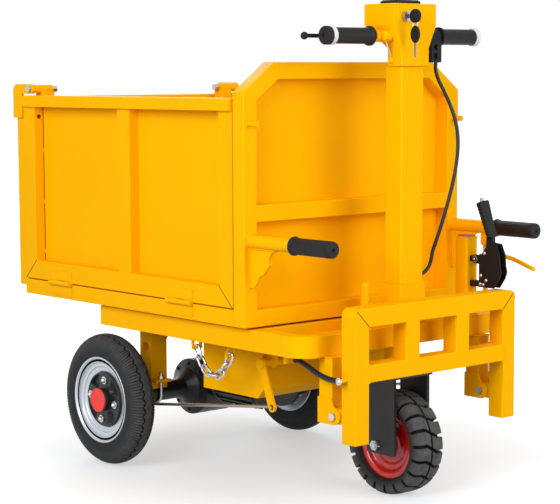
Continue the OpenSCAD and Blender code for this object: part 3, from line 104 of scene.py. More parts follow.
lens = bpy.data.cameras.new("photo_lens")
lens.sensor_width = SENSOR
lens.lens = FOCAL_PIXELS / PHOTO_WIDTH * SENSOR
lens.shift_x, lens.shift_y = (shift / PHOTO_WIDTH for shift in SHIFT_PIXELS)
camera = bpy.data.objects.new("photo_camera", lens)
axes = Matrix(camera_axes(AZIMUTH, ELEVATION, ROLL)).transposed()
camera.matrix_world = Matrix.Translation(CAMERA_PLACE) @ axes.to_4x4()
scene.collection.objects.link(camera)
scene.camera = camera
print("lens:", round(lens.lens, 1), "mm")

# %% [markdown]
# ## Shader sums in plain Python
# Node trees are slow to read when every sum is three lines long.
# One small class wraps a socket, so that a sum on sockets adds its Math nodes by itself,
# and one function makes every other node from its type, its settings and its inputs.


# %% A socket that can be added and multiplied
class Flow:
    """A socket of a node tree. Sums on it add Math nodes."""

    def __init__(self, tree, socket):
        self.tree, self.socket = tree, socket

    def sum(self, operation, first, second):
        """A Math node on two values, at least one of them a socket."""
        return put(self.tree, "ShaderNodeMath", {"operation": operation}, {0: first, 1: second})

    def __add__(self, other):
        return self.sum("ADD", self, other)

    def __radd__(self, other):
        return self.sum("ADD", other, self)

    def __mul__(self, other):
        return self.sum("MULTIPLY", self, other)

    def __rmul__(self, other):
        return self.sum("MULTIPLY", other, self)


def put(tree, kind, settings=None, inputs=None, output=0):
    """Adds a node, sets it up, links or fills its inputs, and returns one of its outputs."""
    node = tree.nodes.new(kind)
    for key, value in (settings or {}).items():
        setattr(node, key, value)
    for key, value in (inputs or {}).items():
        if isinstance(value, Flow):
            tree.links.new(value.socket, node.inputs[key])
        else:
            node.inputs[key].default_value = value
    return Flow(tree, node.outputs[output])


# %% [markdown]
# ## Finishes
# The steel is powder coated: an even colour with a faint orange peel and slightly uneven gloss.
# Rubber is dull with a fine grain and a dusty bloom on the tread, plated steel has a soft streaky shine.
# Painted images could show this, but every piece would have to be unwrapped for them.
# So all finishes start from one recipe of noise for colour, gloss and bump, on the Object coordinates.

# %% The recipe that the finishes share
GLOSS_FINER, GRAIN_HEIGHT, COAT_ROUGHNESS = 5, 0.0006, 0.18


def new_tree(name):
    """A material with an empty tree and a Principled shader, and the shader's node."""
    material = bpy.data.materials.new(name)
    material.use_nodes = True
    tree = material.node_tree
    tree.nodes.clear()
    shader = tree.nodes.new("ShaderNodeBsdfPrincipled")
    out = tree.nodes.new("ShaderNodeOutputMaterial")
    tree.links.new(shader.outputs[0], out.inputs[0])
    return material, tree, shader


def noise(tree, where, scale, detail=2.0):
    """Noise from 0 to 1 on a place."""
    return put(tree, "ShaderNodeTexNoise", {}, {"Vector": where, "Scale": scale, "Detail": detail})


def mix_colour(tree, factor, dark, light):
    """A colour between two, by a factor."""
    return put(tree, "ShaderNodeMix", {"data_type": "RGBA"}, {0: factor, 6: dark, 7: light}, output=2)


def finish(name, colour, shade, gloss, grain, metallic=0.0, coat=0.0, shine=0.5, cloud=6.0, bloom=None):
    """Clouds of a colour and a shade. Gloss is a roughness and its spread, grain a fineness and its depth."""
    (roughness, spread), (fineness, depth) = gloss, grain
    material, tree, shader = new_tree(name)
    where = put(tree, "ShaderNodeTexCoord", output=3)
    drift = noise(tree, where, cloud, detail=3.0)
    tint = mix_colour(tree, drift, (*shade, 1), (*colour, 1))
    if bloom is not None:
        tint = bloom(tree, where, tint)
    tree.links.new(tint.socket, shader.inputs["Base Color"])
    uneven = roughness - spread / 2 + noise(tree, where, cloud * GLOSS_FINER, detail=4.0) * spread
    tree.links.new(uneven.socket, shader.inputs["Roughness"])
    bump = put(tree, "ShaderNodeBump", {}, {"Strength": depth, "Distance": GRAIN_HEIGHT,
                                            "Height": noise(tree, where, fineness)})
    tree.links.new(bump.socket, shader.inputs["Normal"])
    shader.inputs["Metallic"].default_value = metallic
    shader.inputs["Coat Weight"].default_value = coat
    shader.inputs["Specular IOR Level"].default_value = shine
    shader.inputs["Coat Roughness"].default_value = COAT_ROUGHNESS
    return material


# %% Paint, plastic and metal
BLACK = (0.010, 0.010, 0.011), (0.007, 0.007, 0.008)
DEEP_BLACK = (0.010, 0.010, 0.011), (0.006, 0.006, 0.007)
yellow_paint = finish("yellow_paint", (0.96, 0.475, 0.0), (0.93, 0.435, 0.0),
                      gloss=(0.40, 0.10), grain=(420, 0.08), shine=0.03)
seam_shadow = finish("seam_shadow", (0.12, 0.042, 0.0), (0.08, 0.026, 0.0),
                     gloss=(0.70, 0.10), grain=(420, 0.08), shine=0.05)
fork_paint = finish("fork_paint", (0.034, 0.036, 0.039), (0.026, 0.027, 0.029),
                    gloss=(0.50, 0.12), grain=(700, 0.12), shine=0.3)
axle_paint = finish("axle_paint", *DEEP_BLACK, gloss=(0.36, 0.16), grain=(160, 0.25), shine=0.35)
hub_paint = finish("hub_paint", *DEEP_BLACK, gloss=(0.40, 0.14), grain=(220, 0.20), shine=0.35)
black_plastic = finish("black_plastic", *BLACK, gloss=(0.46, 0.10), grain=(900, 0.12), shine=0.16)
grip_rubber = finish("grip_rubber", *BLACK, gloss=(0.55, 0.10), grain=(1200, 0.25), shine=0.2)
zinc_plate = finish("zinc_plate", (0.60, 0.61, 0.63), (0.44, 0.45, 0.47),
                    gloss=(0.30, 0.16), grain=(300, 0.10), metallic=1.0, cloud=30)
rim_silver = finish("rim_silver", (0.55, 0.59, 0.63), (0.48, 0.52, 0.56),
                    gloss=(0.36, 0.12), grain=(500, 0.06), metallic=0.55, coat=0.2)
rim_red = finish("rim_red", (0.56, 0.012, 0.010), (0.48, 0.008, 0.007),
                 gloss=(0.24, 0.08), grain=(120, 0.08), coat=0.4)
cap_red = finish("cap_red", (0.86, 0.050, 0.035), (0.80, 0.040, 0.028),
                 gloss=(0.42, 0.10), grain=(300, 0.10), shine=0.3)
plug_red = finish("plug_red", (0.50, 0.11, 0.06), (0.42, 0.08, 0.045),
                  gloss=(0.55, 0.10), grain=(300, 0.10), shine=0.3)
white_ring = finish("white_ring", (0.74, 0.75, 0.75), (0.68, 0.69, 0.69),
                    gloss=(0.40, 0.10), grain=(300, 0.05), shine=0.2)
gauge_glass = finish("gauge_glass", (0.020, 0.030, 0.028), (0.015, 0.022, 0.020),
                     gloss=(0.12, 0.04), grain=(60, 0.02), coat=0.4)
dark_steel = finish("dark_steel", (0.30, 0.31, 0.32), (0.22, 0.23, 0.24),
                    gloss=(0.42, 0.14), grain=(300, 0.10), metallic=0.8, cloud=30)
battery_case = finish("battery_case", (0.03, 0.03, 0.032), (0.022, 0.022, 0.024),
                      gloss=(0.55, 0.10), grain=(500, 0.15))
rod_steel = finish("rod_steel", (0.42, 0.38, 0.30), (0.34, 0.30, 0.23),
                   gloss=(0.38, 0.20), grain=(200, 0.15), metallic=0.9, cloud=20)
cable_sheath = finish("cable_sheath", *BLACK, gloss=(0.40, 0.10), grain=(800, 0.10), shine=0.3)
print("paint, plastic and metal:", len(bpy.data.materials))

# %% Rubber with a dusty tread and painted shade in its grooves
DUST_GRAIN, GROOVE_SHADE = 60, 0.003


def dusty_tread_groove_shade(top):
    """Dusty tread tops and painted shade in the grooves, by the depth and the height that the tyre's points
    carry.
    """

    def bloom(tree, where, tint):
        deep = put(tree, "ShaderNodeAttribute", {"attribute_name": "deep"}, output=2)
        lit = put(tree, "ShaderNodeAttribute", {"attribute_name": "crown"}, output=2)
        dust = lit * noise(tree, where, DUST_GRAIN, detail=4.0)
        dusty = mix_colour(tree, dust, tint, (top, top, top, 1))
        # The grooves are painted nearly black as shade: the deeper a point is pressed in, the darker it is.
        return mix_colour(tree, deep, dusty, (GROOVE_SHADE, GROOVE_SHADE, GROOVE_SHADE, 1))

    return bloom


front_rubber = finish("front_rubber", (0.022, 0.023, 0.024), (0.016, 0.017, 0.018),
                      gloss=(0.66, 0.16), grain=(500, 0.35), shine=0.16, bloom=dusty_tread_groove_shade(0.13))
rear_rubber = finish("rear_rubber", (0.020, 0.021, 0.022), (0.015, 0.016, 0.017),
                     gloss=(0.64, 0.16), grain=(500, 0.30), shine=0.16, bloom=dusty_tread_groove_shade(0.085))
print("materials:", len(bpy.data.materials))

# %% [markdown]
# ## Who wears what
# Each solid takes the finish of its real counterpart.
# A finish could be set piece by piece, but one table shows at a glance what belongs together and what is bare.

# %% Paint the solids
WEARS = {
    yellow_paint: "chassis_frame steering_head axle_hangers battery_box step_brackets handbrake_post "
                  "hopper_base hopper_floor front_wall tailgate_posts tip_handles gate_hinge_leaves left_gate "
                  "right_gate tailgate tailgate_hangers latch_lever steering_column head_box handlebar "
                  "step_frame brake_shaft left_gate_pin right_gate_pin",
    fork_paint: "fork",
    axle_paint: "axle_housing drive_motor",
    hub_paint: "left_hub right_hub",
    black_plastic: "display switch_block ignition_key brake_lever handbrake_lever handbrake_quadrant "
                   "horn_button light_button",
    grip_rubber: "handle_grips left_grip throttle_grip",
    zinc_plate: "axle_u_bolts step_pivot_bolts tip_hinge_pins limit_chain front_axle_bolt "
                "tailgate_pivot_bolts key_switch handbrake_button",
    rod_steel: "brake_rods",
    rim_silver: "left_rim right_rim",
    rim_red: "front_rim",
    cap_red: "left_hub_cap right_hub_cap",
    battery_case: "battery_pack",
    front_rubber: "front_tyre",
    rear_rubber: "left_tyre right_tyre",
    cable_sheath: "control_cable step_spring",
}
for material, names in WEARS.items():
    for name in names.split():
        nodes[name].data.materials.clear()
        nodes[name].data.materials.append(material)
bare = sorted(set(nodes) - set(" ".join(WEARS.values()).split()))
print("solids without a finish:", bare)

# %% [markdown]
# ## The control cable
# A sheathed cable leaves the switch block under the right grip, bows out past the column and goes back into
# its foot. It could be swept as a mesh, but it is one length of one thing, so it is one curve with a round
# bevel, through the same places as its solid.

# %% Draw the cable
CABLE_BENDS = [
    (-3, 108, 1), (-3, 108, 0.968), (2, 110, 0.929), (15, 117, 0.869), (32, 125, 0.79), (45, 130, 0.704),
    (51, 130, 0.615), (52, 124, 0.526), (50, 113, 0.427), (44, 101, 0.327), (35, 90, 0.228), (25, 82, 0.149),
    (18, 79, 0.105), (15, 78, 0.071), (12, 73, 0.036), (10, 60, 0.01), (9, 42, 0), (9, 38, 0)]
CABLE_LOW, CABLE_TOP, COLUMN_X, CABLE_RADIUS = 530, 1034, 505, 0.0045
cable_route = [(COLUMN_X + x, y, CABLE_LOW + share * (CABLE_TOP - CABLE_LOW)) for x, y, share in CABLE_BENDS]


def bent_tube(name, route, radius, material):
    """A smooth round curve through places in millimetres, and its length in metres."""
    curve = bpy.data.curves.new(name, "CURVE")
    curve.dimensions = "3D"
    curve.bevel_depth, curve.bevel_resolution, curve.use_fill_caps = radius, 4, True
    curve.resolution_u = 8
    spline = curve.splines.new("BEZIER")
    spline.bezier_points.add(len(route) - 1)
    for point, place in zip(spline.bezier_points, route):
        point.co = Vector(place) / 1000
        point.handle_left_type = point.handle_right_type = "AUTO"
    curve.materials.append(material)
    tube = bpy.data.objects.new(name, curve)
    scene.collection.objects.link(tube)
    bpy.context.view_layer.update()
    return tube, spline.calc_length()


cable, cable_length = bent_tube("cable", cable_route, CABLE_RADIUS, cable_sheath)
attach(cable, "steering")
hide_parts("control_cable")
tuple(c / 1000 for c in cable_route[0])
print("cable:", round(cable_length, 3), "m")

# %% [markdown]
# ## Helpers for new pieces
# A new piece is a mesh at the origin with its place in its points, as the solids are.
# It takes a finish and rides on a body of the cart.
# A piece may stand for a solid, which is then hidden.

# %% Make, finish and attach a piece
MM = 0.001
SIDES = {"left": -1, "right": 1}
slot_of_node = {part["node"]: part["material_slot"] for part in frame["record"]["subparts"]}
kept = []


def middle(node):
    """Middle of a node's box, in metres."""
    low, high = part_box(node)
    return (low + high) / 2


def keep(made, body, slot, *stands_for):
    """Lets a finished piece ride on a body and stand for solids. Its slot is not used."""
    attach(made, body)
    if stands_for:
        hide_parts(*stands_for)
    kept.append(made)


def piece(name, shape, material, crease=32, turn_out=True):
    """An object from a bmesh, smooth except at edges that are sharper than a crease."""
    bmesh.ops.remove_doubles(shape, verts=shape.verts, dist=1e-6)
    if turn_out:
        bmesh.ops.recalc_face_normals(shape, faces=shape.faces)
    mesh = bpy.data.meshes.new(name)
    shape.to_mesh(mesh)
    shape.free()
    mesh.materials.append(material)
    return shown(name, mesh, crease)


def shown(name, mesh, crease):
    """An object in the scene from a mesh, smooth except at edges that are sharper than a crease."""
    mesh.shade_smooth()
    mesh.set_sharp_from_angle(angle=math.radians(crease))
    made = bpy.data.objects.new(name, mesh)
    scene.collection.objects.link(made)
    return made


def turns(steps):
    """Angles once round, a step apart."""
    return [2 * math.pi * i / steps for i in range(steps)]


def skin(shape, rows):
    """Joins rings of points in a bmesh, each to the next, with four-sided faces."""
    for a, b in zip(rows, rows[1:]):
        for i in range(len(a)):
            k = (i + 1) % len(a)
            shape.faces.new((a[i], a[k], b[k], b[i]))


# %% [markdown]
# ## Folded and welded steel
# Rolled tube and bent sheet never have knife edges, and the light that runs along a rounded corner is most of
# what tells the eye that this is steel. A Bevel modifier would round every small hole too.
# So a copy of each solid is welded into one skin, its flat faces are joined, and only its long outer edges are
# rounded. A Weighted Normal modifier then keeps the large faces flat to the light.

# %% Round the long edges of the steel
FLAT, BENT = math.radians(0.4), math.radians(40)
LEAST_EDGE, THIN_FACE = 14, 2.4


def rounded(node, width):
    """Puts a copy of a solid, with its long outer edges rounded by a width in millimetres, in its place."""
    shape = bmesh.new()
    shape.from_mesh(nodes[node].data)
    bmesh.ops.remove_doubles(shape, verts=shape.verts, dist=1e-5)
    bmesh.ops.dissolve_limit(shape, angle_limit=FLAT, verts=shape.verts, edges=shape.edges)
    reach = width * MM
    thin = {f for f in shape.faces
            if f.calc_area() < THIN_FACE * reach * max(e.calc_length() for e in f.edges)}
    edges = [e for e in shape.edges
             if len(e.link_faces) == 2 and e.is_convex and e.calc_length() > LEAST_EDGE * MM
             and e.calc_face_angle() > BENT and not thin.intersection(e.link_faces)]
    bmesh.ops.bevel(shape, geom=edges, offset=reach, offset_type="OFFSET", segments=3, profile=0.5,
                    affect="EDGES", clamp_overlap=False)
    made = piece("rounded_" + node, shape, nodes[node].data.materials[0], crease=35, turn_out=False)
    level = made.modifiers.new("flat_faces", "WEIGHTED_NORMAL")
    level.keep_sharp = True
    keep(made, body_of_node[node], slot_of_node[node], node)


ROUNDING = {
    "front_wall": 2.5, "left_gate": 2.0, "right_gate": 2.0, "tailgate": 2.5, "hopper_base": 2.5,
    "chassis_frame": 3.0, "step_frame": 3.0, "steering_column": 5.0, "head_box": 3.0, "handbrake_post": 6.0,
    "step_brackets": 1.2, "axle_hangers": 2.0, "battery_box": 1.0, "fork": 2.0, "tip_handles": 1.5,
    "switch_block": 3.0, "tailgate_hangers": 1.5, "tailgate_posts": 2.0, "brake_shaft": 1.0,
    "latch_lever": 2.0, "battery_pack": 4.0, "handbrake_quadrant": 0.7,
}
for node, width in ROUNDING.items():
    rounded(node, width)
print("rounded pieces:", len(kept))

# %% [markdown]
# ## Tyres
# The rear tyres have a scalloped groove on each side of a smooth crown and a comb of short cuts down the
# shoulder. The front tyre has chunky blocks: grooves that step across the tread, and one round its middle.
# A tread could be cut with booleans, but it is a rule in two numbers, the angle and the place across the tyre.
# So each tyre is one closed skin of many small faces, and the rule says how deep each point is pressed in.


# %% Draw a tyre section
def spaced(points, step):
    """The same line of points, a step apart."""
    marks = [0.0]
    for a, b in zip(points, points[1:]):
        marks.append(marks[-1] + math.dist(a, b))
    count, out, k = max(1, round(marks[-1] / step)), [], 0
    for i in range(count + 1):
        along = marks[-1] * i / count
        while k < len(points) - 2 and marks[k + 1] < along:
            k += 1
        share = (along - marks[k]) / (marks[k + 1] - marks[k])
        out.append(tuple(p + (q - p) * share for p, q in zip(points[k], points[k + 1])))
    return out


def crown(half, low, top, power, steps=80):
    """Half of a tyre's crown, from its widest place to the middle of the tread, as [across, radius] in mm."""
    rise = [math.pi / 2 * i / steps for i in range(steps + 1)]
    return [(half * math.cos(t) ** (2 / power), low + (top - low) * math.sin(t) ** (2 / power)) for t in rise]


def section(seat, wall, top):
    """Half of a tyre section, from its seat on the rim over its wall to its crown."""
    return seat[:-1] + wall[:-1] + top


rear_half = section(spaced([(28, 99.6), (28, 112.2), (32.6, 112.8)], 4),
                    spaced([(32.6, 112.8), (34, 122), (34, 130)], 3),
                    spaced(crown(34, 130, 170, 2.35), 1.3))
front_half = section(spaced([(28, 75.2), (28, 86.3), (33, 86.8)], 4),
                     spaced([(33, 86.8), (43, 91), (45, 100)], 2.5),
                     spaced(crown(45, 100, 125, 4.2), 1.25))
print("tyre sections:", len(rear_half) * 2 - 1, len(front_half) * 2 - 1, "points")


# %% The two tread rules
def ease(share):
    """A smooth step from 0 to 1."""
    share = min(1.0, max(0.0, share))
    return share * share * (3 - 2 * share)


def groove(away, half):
    """1 in the middle of a groove and 0 outside its half width."""
    return ease((half - away) / (half * 0.5))


RING_DEPTH = 0.6
SCALLOPS, SCALLOP_EDGE, SCALLOP_BOW, SCALLOP_DEPTH, SCALLOP_HALF = 44, 21.5, 11, 5.0, 2.3
CUTS, CUT_RADIUS, CUT_DEPTH, CUT_HALF = 3, 165, 2.0, 1.8
REAR_RING, REAR_TREAD = 119, 138
BLOCKS, BLOCK_RADIUS, BLOCK_DEPTH, BLOCK_HALF = 20, 125, 10.5, 4.8
LEAD, LEAD_HALF, MIDDLE_DEPTH, MIDDLE_HALF = 0.24, 16, 7.0, 3.2
FRONT_RING, FRONT_TREAD = 94, 98


def rear_tread(turn, y, r):
    """Scalloped grooves, shoulder cuts that fade down the sidewall and a fine ring above the rim."""
    if r < REAR_TREAD:
        return RING_DEPTH * groove(abs(r - REAR_RING), 1.6)
    t = turn * SCALLOPS / (2 * math.pi) % 1
    edge = SCALLOP_EDGE - SCALLOP_BOW * math.sqrt(1 - (2 * t - 1) ** 2)
    wave = SCALLOP_DEPTH * groove(abs(abs(y) - edge), SCALLOP_HALF)
    pitch = 2 * math.pi * CUT_RADIUS / SCALLOPS / CUTS
    comb = CUT_DEPTH * groove(abs((CUTS * t + 0.5) % 1 - 0.5) * pitch, CUT_HALF) if abs(y) > edge else 0
    above = r - REAR_TREAD
    return max(wave, comb * min(1.0, above / 14)) * min(1.0, above / 5)


def front_tread(turn, y, r):
    """Grooves that step across the tread, and one round its middle."""
    if r < FRONT_TREAD:
        return RING_DEPTH * groove(abs(r - FRONT_RING), 1.5)
    lead = LEAD * max(-1.0, min(1.0, y / LEAD_HALF))
    t = (turn * BLOCKS / (2 * math.pi) - lead + 0.5) % 1 - 0.5
    across = BLOCK_DEPTH * groove(abs(t) * 2 * math.pi * BLOCK_RADIUS / BLOCKS, BLOCK_HALF)
    around = MIDDLE_DEPTH * groove(abs(y), MIDDLE_HALF)
    return max(across, around) * min(1.0, (r - FRONT_TREAD) / 8)


# %% Carry the sections round the wheels
FULL_SHADE_DEPTH, DUST_RISE = 3.6, 1.5


def tyre(node, half, around, tread, dust_from):
    """Puts a tyre in its solid's place, from half of its section, a tread rule and where its dust starts."""
    ring = half + [(-y, r) for y, r in reversed(half[:-1])]
    outward = []
    for (y0, r0), (y1, r1) in zip(ring[-1:] + ring[:-1], ring[1:] + ring[:1]):
        size = math.dist((y0, r0), (y1, r1))
        outward.append(((r1 - r0) / size, (y0 - y1) / size))
    shape, at, rows = bmesh.new(), middle(node), []
    groove_shade_layer, crown_layer = (shape.verts.layers.float.new(name) for name in ("deep", "crown"))
    top = max(r for y, r in ring)
    for turn in turns(around):
        row = []
        for (y, r), (ny, nr) in zip(ring, outward):
            deep = tread(turn, y, r)
            reach = (r - nr * deep) * MM
            point = shape.verts.new((at.x + reach * math.sin(turn), at.y + (y - ny * deep) * MM,
                                     at.z + reach * math.cos(turn)))
            # How deep the point is pressed in sets how much painted shade its groove gets.
            point[groove_shade_layer] = min(1.0, deep / FULL_SHADE_DEPTH)
            point[crown_layer] = ease((r - dust_from) / (top - dust_from) * DUST_RISE)
            row.append(point)
        rows.append(row)
    skin(shape, rows + rows[:1])
    made = piece("treaded_" + node, shape, nodes[node].data.materials[0], crease=50)
    keep(made, body_of_node[node], slot_of_node[node], node)
    print(node + ":", len(made.data.polygons), "faces")


for side in SIDES:
    tyre(side + "_tyre", rear_half, around=SCALLOPS * 18, tread=rear_tread, dust_from=128)
tyre("front_tyre", front_half, around=BLOCKS * 40, tread=front_tread, dust_from=92)

# %% [markdown]
# ## Turned pieces
# Grips, rings, caps, wheels and ferrules are all round about a line.
# The Screw modifier could turn them, but a small lathe that carries a profile of [along, radius] points round
# any line keeps the place in the mesh. A ripple can press flutes or ribs into what it turns.

# %% A lathe
X, Y, Z = (1, 0, 0), (0, 1, 0), (0, 0, 1)


def lathe(shape, start, toward, profile, steps=48, ripple=None):
    """Adds a profile in millimetres, turned about the line from a place toward a direction, to a bmesh."""
    axis = Vector(toward).normalized()
    side = axis.orthogonal().normalized()
    other = axis.cross(side)
    rows = []
    for along, radius in profile:
        centre = (Vector(start) + axis * along) * MM
        row = []
        for t in turns(steps):
            reach = radius - (ripple(along, t) if ripple and radius else 0)
            row.append(shape.verts.new(centre + (side * math.cos(t) + other * math.sin(t)) * reach * MM))
        rows.append(row)
    skin(shape, rows)


def turned(name, material, *parts, crease=32, **more):
    """One piece of one or more lathe parts, each with its start, direction and profile."""
    shape = bmesh.new()
    for start, toward, profile in parts:
        lathe(shape, start, toward, profile, **more)
    return piece(name, shape, material, crease)


# %% [markdown]
# ## Wheels
# The front wheel is pressed from sheet: a rolled lip, a stepped dish on both sides and a plain hub, all red.
# The rear rims are silver with two steps, and carry a black cast hub with four arms, dome nuts and a thin red
# cap on a boss. They are turned on the lathe. The hollows between the arms follow a rule, so the cast face is
# a round grid that is pressed in like the tread.

# %% Turn the front wheel and the rear rims
WHEEL_STEPS = 96
DISH = [(48, 8.06), (48, 25), (46.5, 26.5), (24, 27), (16, 31), (13.5, 36), (13.5, 47), (15, 51), (18.5, 54),
        (19.5, 58), (19, 62), (20.5, 66), (26, 69.5), (29.5, 72), (31.5, 76.5), (32, 82), (31, 85.4),
        (29.5, 86), (28, 84), (28, 75)]
dish_ring = DISH + [(-y, r) for y, r in reversed(DISH)] + DISH[:1]
front_wheel = turned("dished_front_rim", rim_red, (middle("front_tyre") / MM, Y, dish_ring),
                     crease=50, steps=WHEEL_STEPS)
keep(front_wheel, "front_wheel", "red_paint", "front_rim")

RIM = [(28, 112.3), (31, 112.6), (32.4, 111.4), (32.6, 109.5), (31.5, 107.5), (29, 106), (26, 103.5),
       (24.4, 100), (24, 96.5), (20.5, 95), (19.4, 93), (19.2, 87), (16.2, 85.6), (15.2, 83.5), (15, 76),
       (13.5, 72.5), (8, 71.2), (5, 72), (5, 79), (2, 81), (-8, 81), (-13, 95.5), (-28, 95.5), (-31, 107),
       (-32.5, 110), (-31.5, 112.3), (-28, 112.3), (-28, 99.5), (-16, 99.5), (-8, 85), (8, 85), (16, 99.5),
       (28, 99.5), (28, 112.3)]
CAP = [(36, 0), (36, 30.6), (37, 31), (38.8, 30.8), (39.8, 29.6), (40, 28), (39.6, 26), (39.5, 0)]
for side, way in SIDES.items():
    at, body, rim = middle(side + "_tyre") / MM, side + "_wheel", side + "_rim"
    keep(turned("stepped_rim_" + side, rim_silver, (at, (0, way, 0), RIM), crease=50, steps=WHEEL_STEPS),
         body, slot_of_node[rim], rim)
    keep(turned("dust_cap_" + side, cap_red, (at, (0, way, 0), CAP)), body, "red_plastic", side + "_hub_cap")
print("wheels turned, pieces so far:", len(kept))

# %% Cast the rear hubs
ARMS, ARM_TURN, ARM_SPREAD, ARM_START = 4, math.radians(8), 0.62, 27
FACE_Y, HOLLOW, HOLLOW_FROM, HOLLOW_TO, HUB_STEPS = 20, 9, 36, 67, 120


def hollow(turn, r):
    """How far the cast face is pressed in between its arms."""
    slice_turn = 2 * math.pi / ARMS
    away = abs((turn - ARM_TURN) % slice_turn - slice_turn / 2) * r
    between_arms = ease((ARM_SPREAD * (r - ARM_START) - away) / 4)
    return HOLLOW * between_arms * ease((r - HOLLOW_FROM) / 4) * ease((HOLLOW_TO - r) / 3)


HUB_BACK = [(71, 18), (71, -36), (67, -36), (67, 0), (49, -16), (16.2, -16), (16.2, 36), (28.6, 36),
            (30, 34.5), (30, FACE_Y)]
face_radii = [30] + list(range(33, 71, 2)) + [70.2]
for side, way in SIDES.items():
    at, shape, rows = middle(side + "_tyre"), bmesh.new(), []
    for r, y in [(r, None) for r in face_radii] + HUB_BACK:
        row = []
        for turn in turns(HUB_STEPS):
            out = FACE_Y - hollow(turn, r) if y is None else y
            row.append(shape.verts.new((at.x + r * math.sin(turn) * MM, at.y + way * out * MM,
                                        at.z + r * math.cos(turn) * MM)))
        rows.append(row)
    skin(shape, rows)
    hub = piece("cast_hub_" + side, shape, hub_paint, crease=45)
    keep(hub, side + "_wheel", "black_metal", side + "_hub")
    print("hub faces:", len(hub.data.polygons))

# %% [markdown]
# ## Nuts, rivets and weld beads
# The same small thing again and again could be copied by hand, but it is work for Geometry Nodes.
# One tree sets a dome on points, for nuts and rivets. One lays beads along curves, for welds, each bead sized
# a little differently.


# %% Grow a plain mesh from a tree
def socket(tree, name, kind, way="INPUT"):
    """Adds a named socket to a tree's interface."""
    return tree.interface.new_socket(name, in_out=way, socket_type="NodeSocket" + kind)


def inputs_of(tree, names):
    """Adds named inputs to a tree, and returns their sockets and their identifiers."""
    keys = {name: socket(tree, name, kind).identifier for name, kind in names.items()}
    start = tree.nodes.new("NodeGroupInput")
    return {name: Flow(tree, start.outputs[name]) for name in names}, keys


def close_tree(tree, geometry, material):
    """Ends a tree in real meshes with a material."""
    socket(tree, "Geometry", "Geometry", "OUTPUT")
    real = put(tree, "GeometryNodeRealizeInstances", {}, {0: geometry})
    done = put(tree, "GeometryNodeSetMaterial", {}, {"Geometry": real, "Material": material})
    tree.links.new(done.socket, tree.nodes.new("NodeGroupOutput").inputs[0])


def grown(name, data, tree, keys, values):
    """The plain mesh that a tree grows on a curve or a mesh."""
    holder = bpy.data.objects.new(name, data)
    modifier = holder.modifiers.new("grow", "NODES")
    modifier.node_group = tree
    for key, value in values.items():
        modifier[keys[key]] = value
    scene.collection.objects.link(holder)
    graph = bpy.context.evaluated_depsgraph_get()
    mesh = bpy.data.meshes.new_from_object(holder.evaluated_get(graph), depsgraph=graph)
    bpy.data.objects.remove(holder)
    mesh.name = name
    return shown(name, mesh, crease=40)


# %% Lay the weld beads
def bead_tree():
    """Beads along curves: overlapped drops of weld metal."""
    tree = bpy.data.node_groups.new("weld_beads", "GeometryNodeTree")
    given, keys = inputs_of(tree, {"Curves": "Geometry", "Spacing": "Float", "Bead": "Float", "Seed": "Int",
                                   "Finish": "Material"})
    dots = tree.nodes.new("GeometryNodeCurveToPoints")
    dots.mode = "LENGTH"
    tree.links.new(given["Curves"].socket, dots.inputs["Curve"])
    tree.links.new(given["Spacing"].socket, dots.inputs["Length"])
    drop = put(tree, "GeometryNodeMeshIcoSphere", {}, {"Radius": given["Bead"], "Subdivisions": 2})
    size = put(tree, "FunctionNodeRandomValue", {"data_type": "FLOAT_VECTOR"},
               {0: (0.75, 0.75, 0.65), 1: (1.0, 1.0, 0.9), "Seed": given["Seed"]})
    beads = put(tree, "GeometryNodeInstanceOnPoints", {},
                {"Points": Flow(tree, dots.outputs["Points"]), "Instance": drop,
                 "Rotation": Flow(tree, dots.outputs["Rotation"]), "Scale": size})
    close_tree(tree, beads, given["Finish"])
    return tree, keys


def arc(centre, radius, first, last, plane, steps=14):
    """Places on an arc in a plane given by two axis letters, in degrees."""
    out = []
    for i in range(steps + 1):
        t = math.radians(first + (last - first) * i / steps)
        place = dict(zip("xyz", centre))
        place[plane[0]] += radius * math.cos(t)
        place[plane[1]] += radius * math.sin(t)
        out.append((place["x"], place["y"], place["z"]))
    return out


def both(routes):
    """The same routes on one side and on the other."""
    return routes + [[(x, -y, z) for x, y, z in route] for route in routes]


BEAD = {"Spacing": 0.0032, "Bead": 0.0027, "Seed": 7, "Finish": yellow_paint}
HANDLE_Y, HANDLE_Z = 340, 623
WELDS = {
    "hopper": both([
        arc((344, HANDLE_Y, HANDLE_Z), 17, 0, 360, "yz"),
        [(344, 345, 515), (344, 345, 606)],
        [(344, 335, 515), (344, 335, 606)],
        [(345, 345, 607), (430, 345, 607)],
    ]),
    "steering": both([[(474, 43.5, 456), (536, 43.5, 456)]]) + [
        [(537.5, -42, 456), (537.5, 42, 456)],
        [(532.5, -37, 516), (532.5, 37, 516)],
    ],
    "step": both([
        [(620.3, 225, 314), (620.3, 225, 352)],
        [(576, 225, 440), (619, 225, 440)],
        [(576, 225, 353), (619, 225, 353)],
    ]),
    "chassis": both([
        [(304, 299.5, 366), (304, 299.5, 414)],
        [(343.5, 299.5, 366), (343.5, 299.5, 414)],
        [(497, 229, 364.5), (539, 229, 364.5)],
        [(497, 266, 364.5), (539, 266, 364.5)],
        [(-222, 121, 364.5), (-222, 200, 364.5)],
        [(-272, 121, 364.5), (-272, 200, 364.5)],
    ]) + [
        arc((498, -122, 416), 11.5, 0, 360, "xy"),
        arc((500, 0, 364), 42.5, 100, 260, "xy"),
        [(478, 205.5, 415.5), (518, 205.5, 415.5)],
        [(518.5, 206, 415.5), (518.5, 246, 415.5)],
    ],
}
weld_tree, weld_keys = bead_tree()
for body, routes in WELDS.items():
    path = bpy.data.curves.new("weld_path", "CURVE")
    path.dimensions = "3D"
    for route in routes:
        spline = path.splines.new("POLY")
        spline.points.add(len(route) - 1)
        for point, place in zip(spline.points, route):
            point.co = (*(Vector(place) * MM), 1)
    beads = grown("welds_" + body, path, weld_tree, weld_keys, BEAD)
    keep(beads, body, "yellow_paint")
    print("weld faces on", body + ":", len(beads.data.polygons))


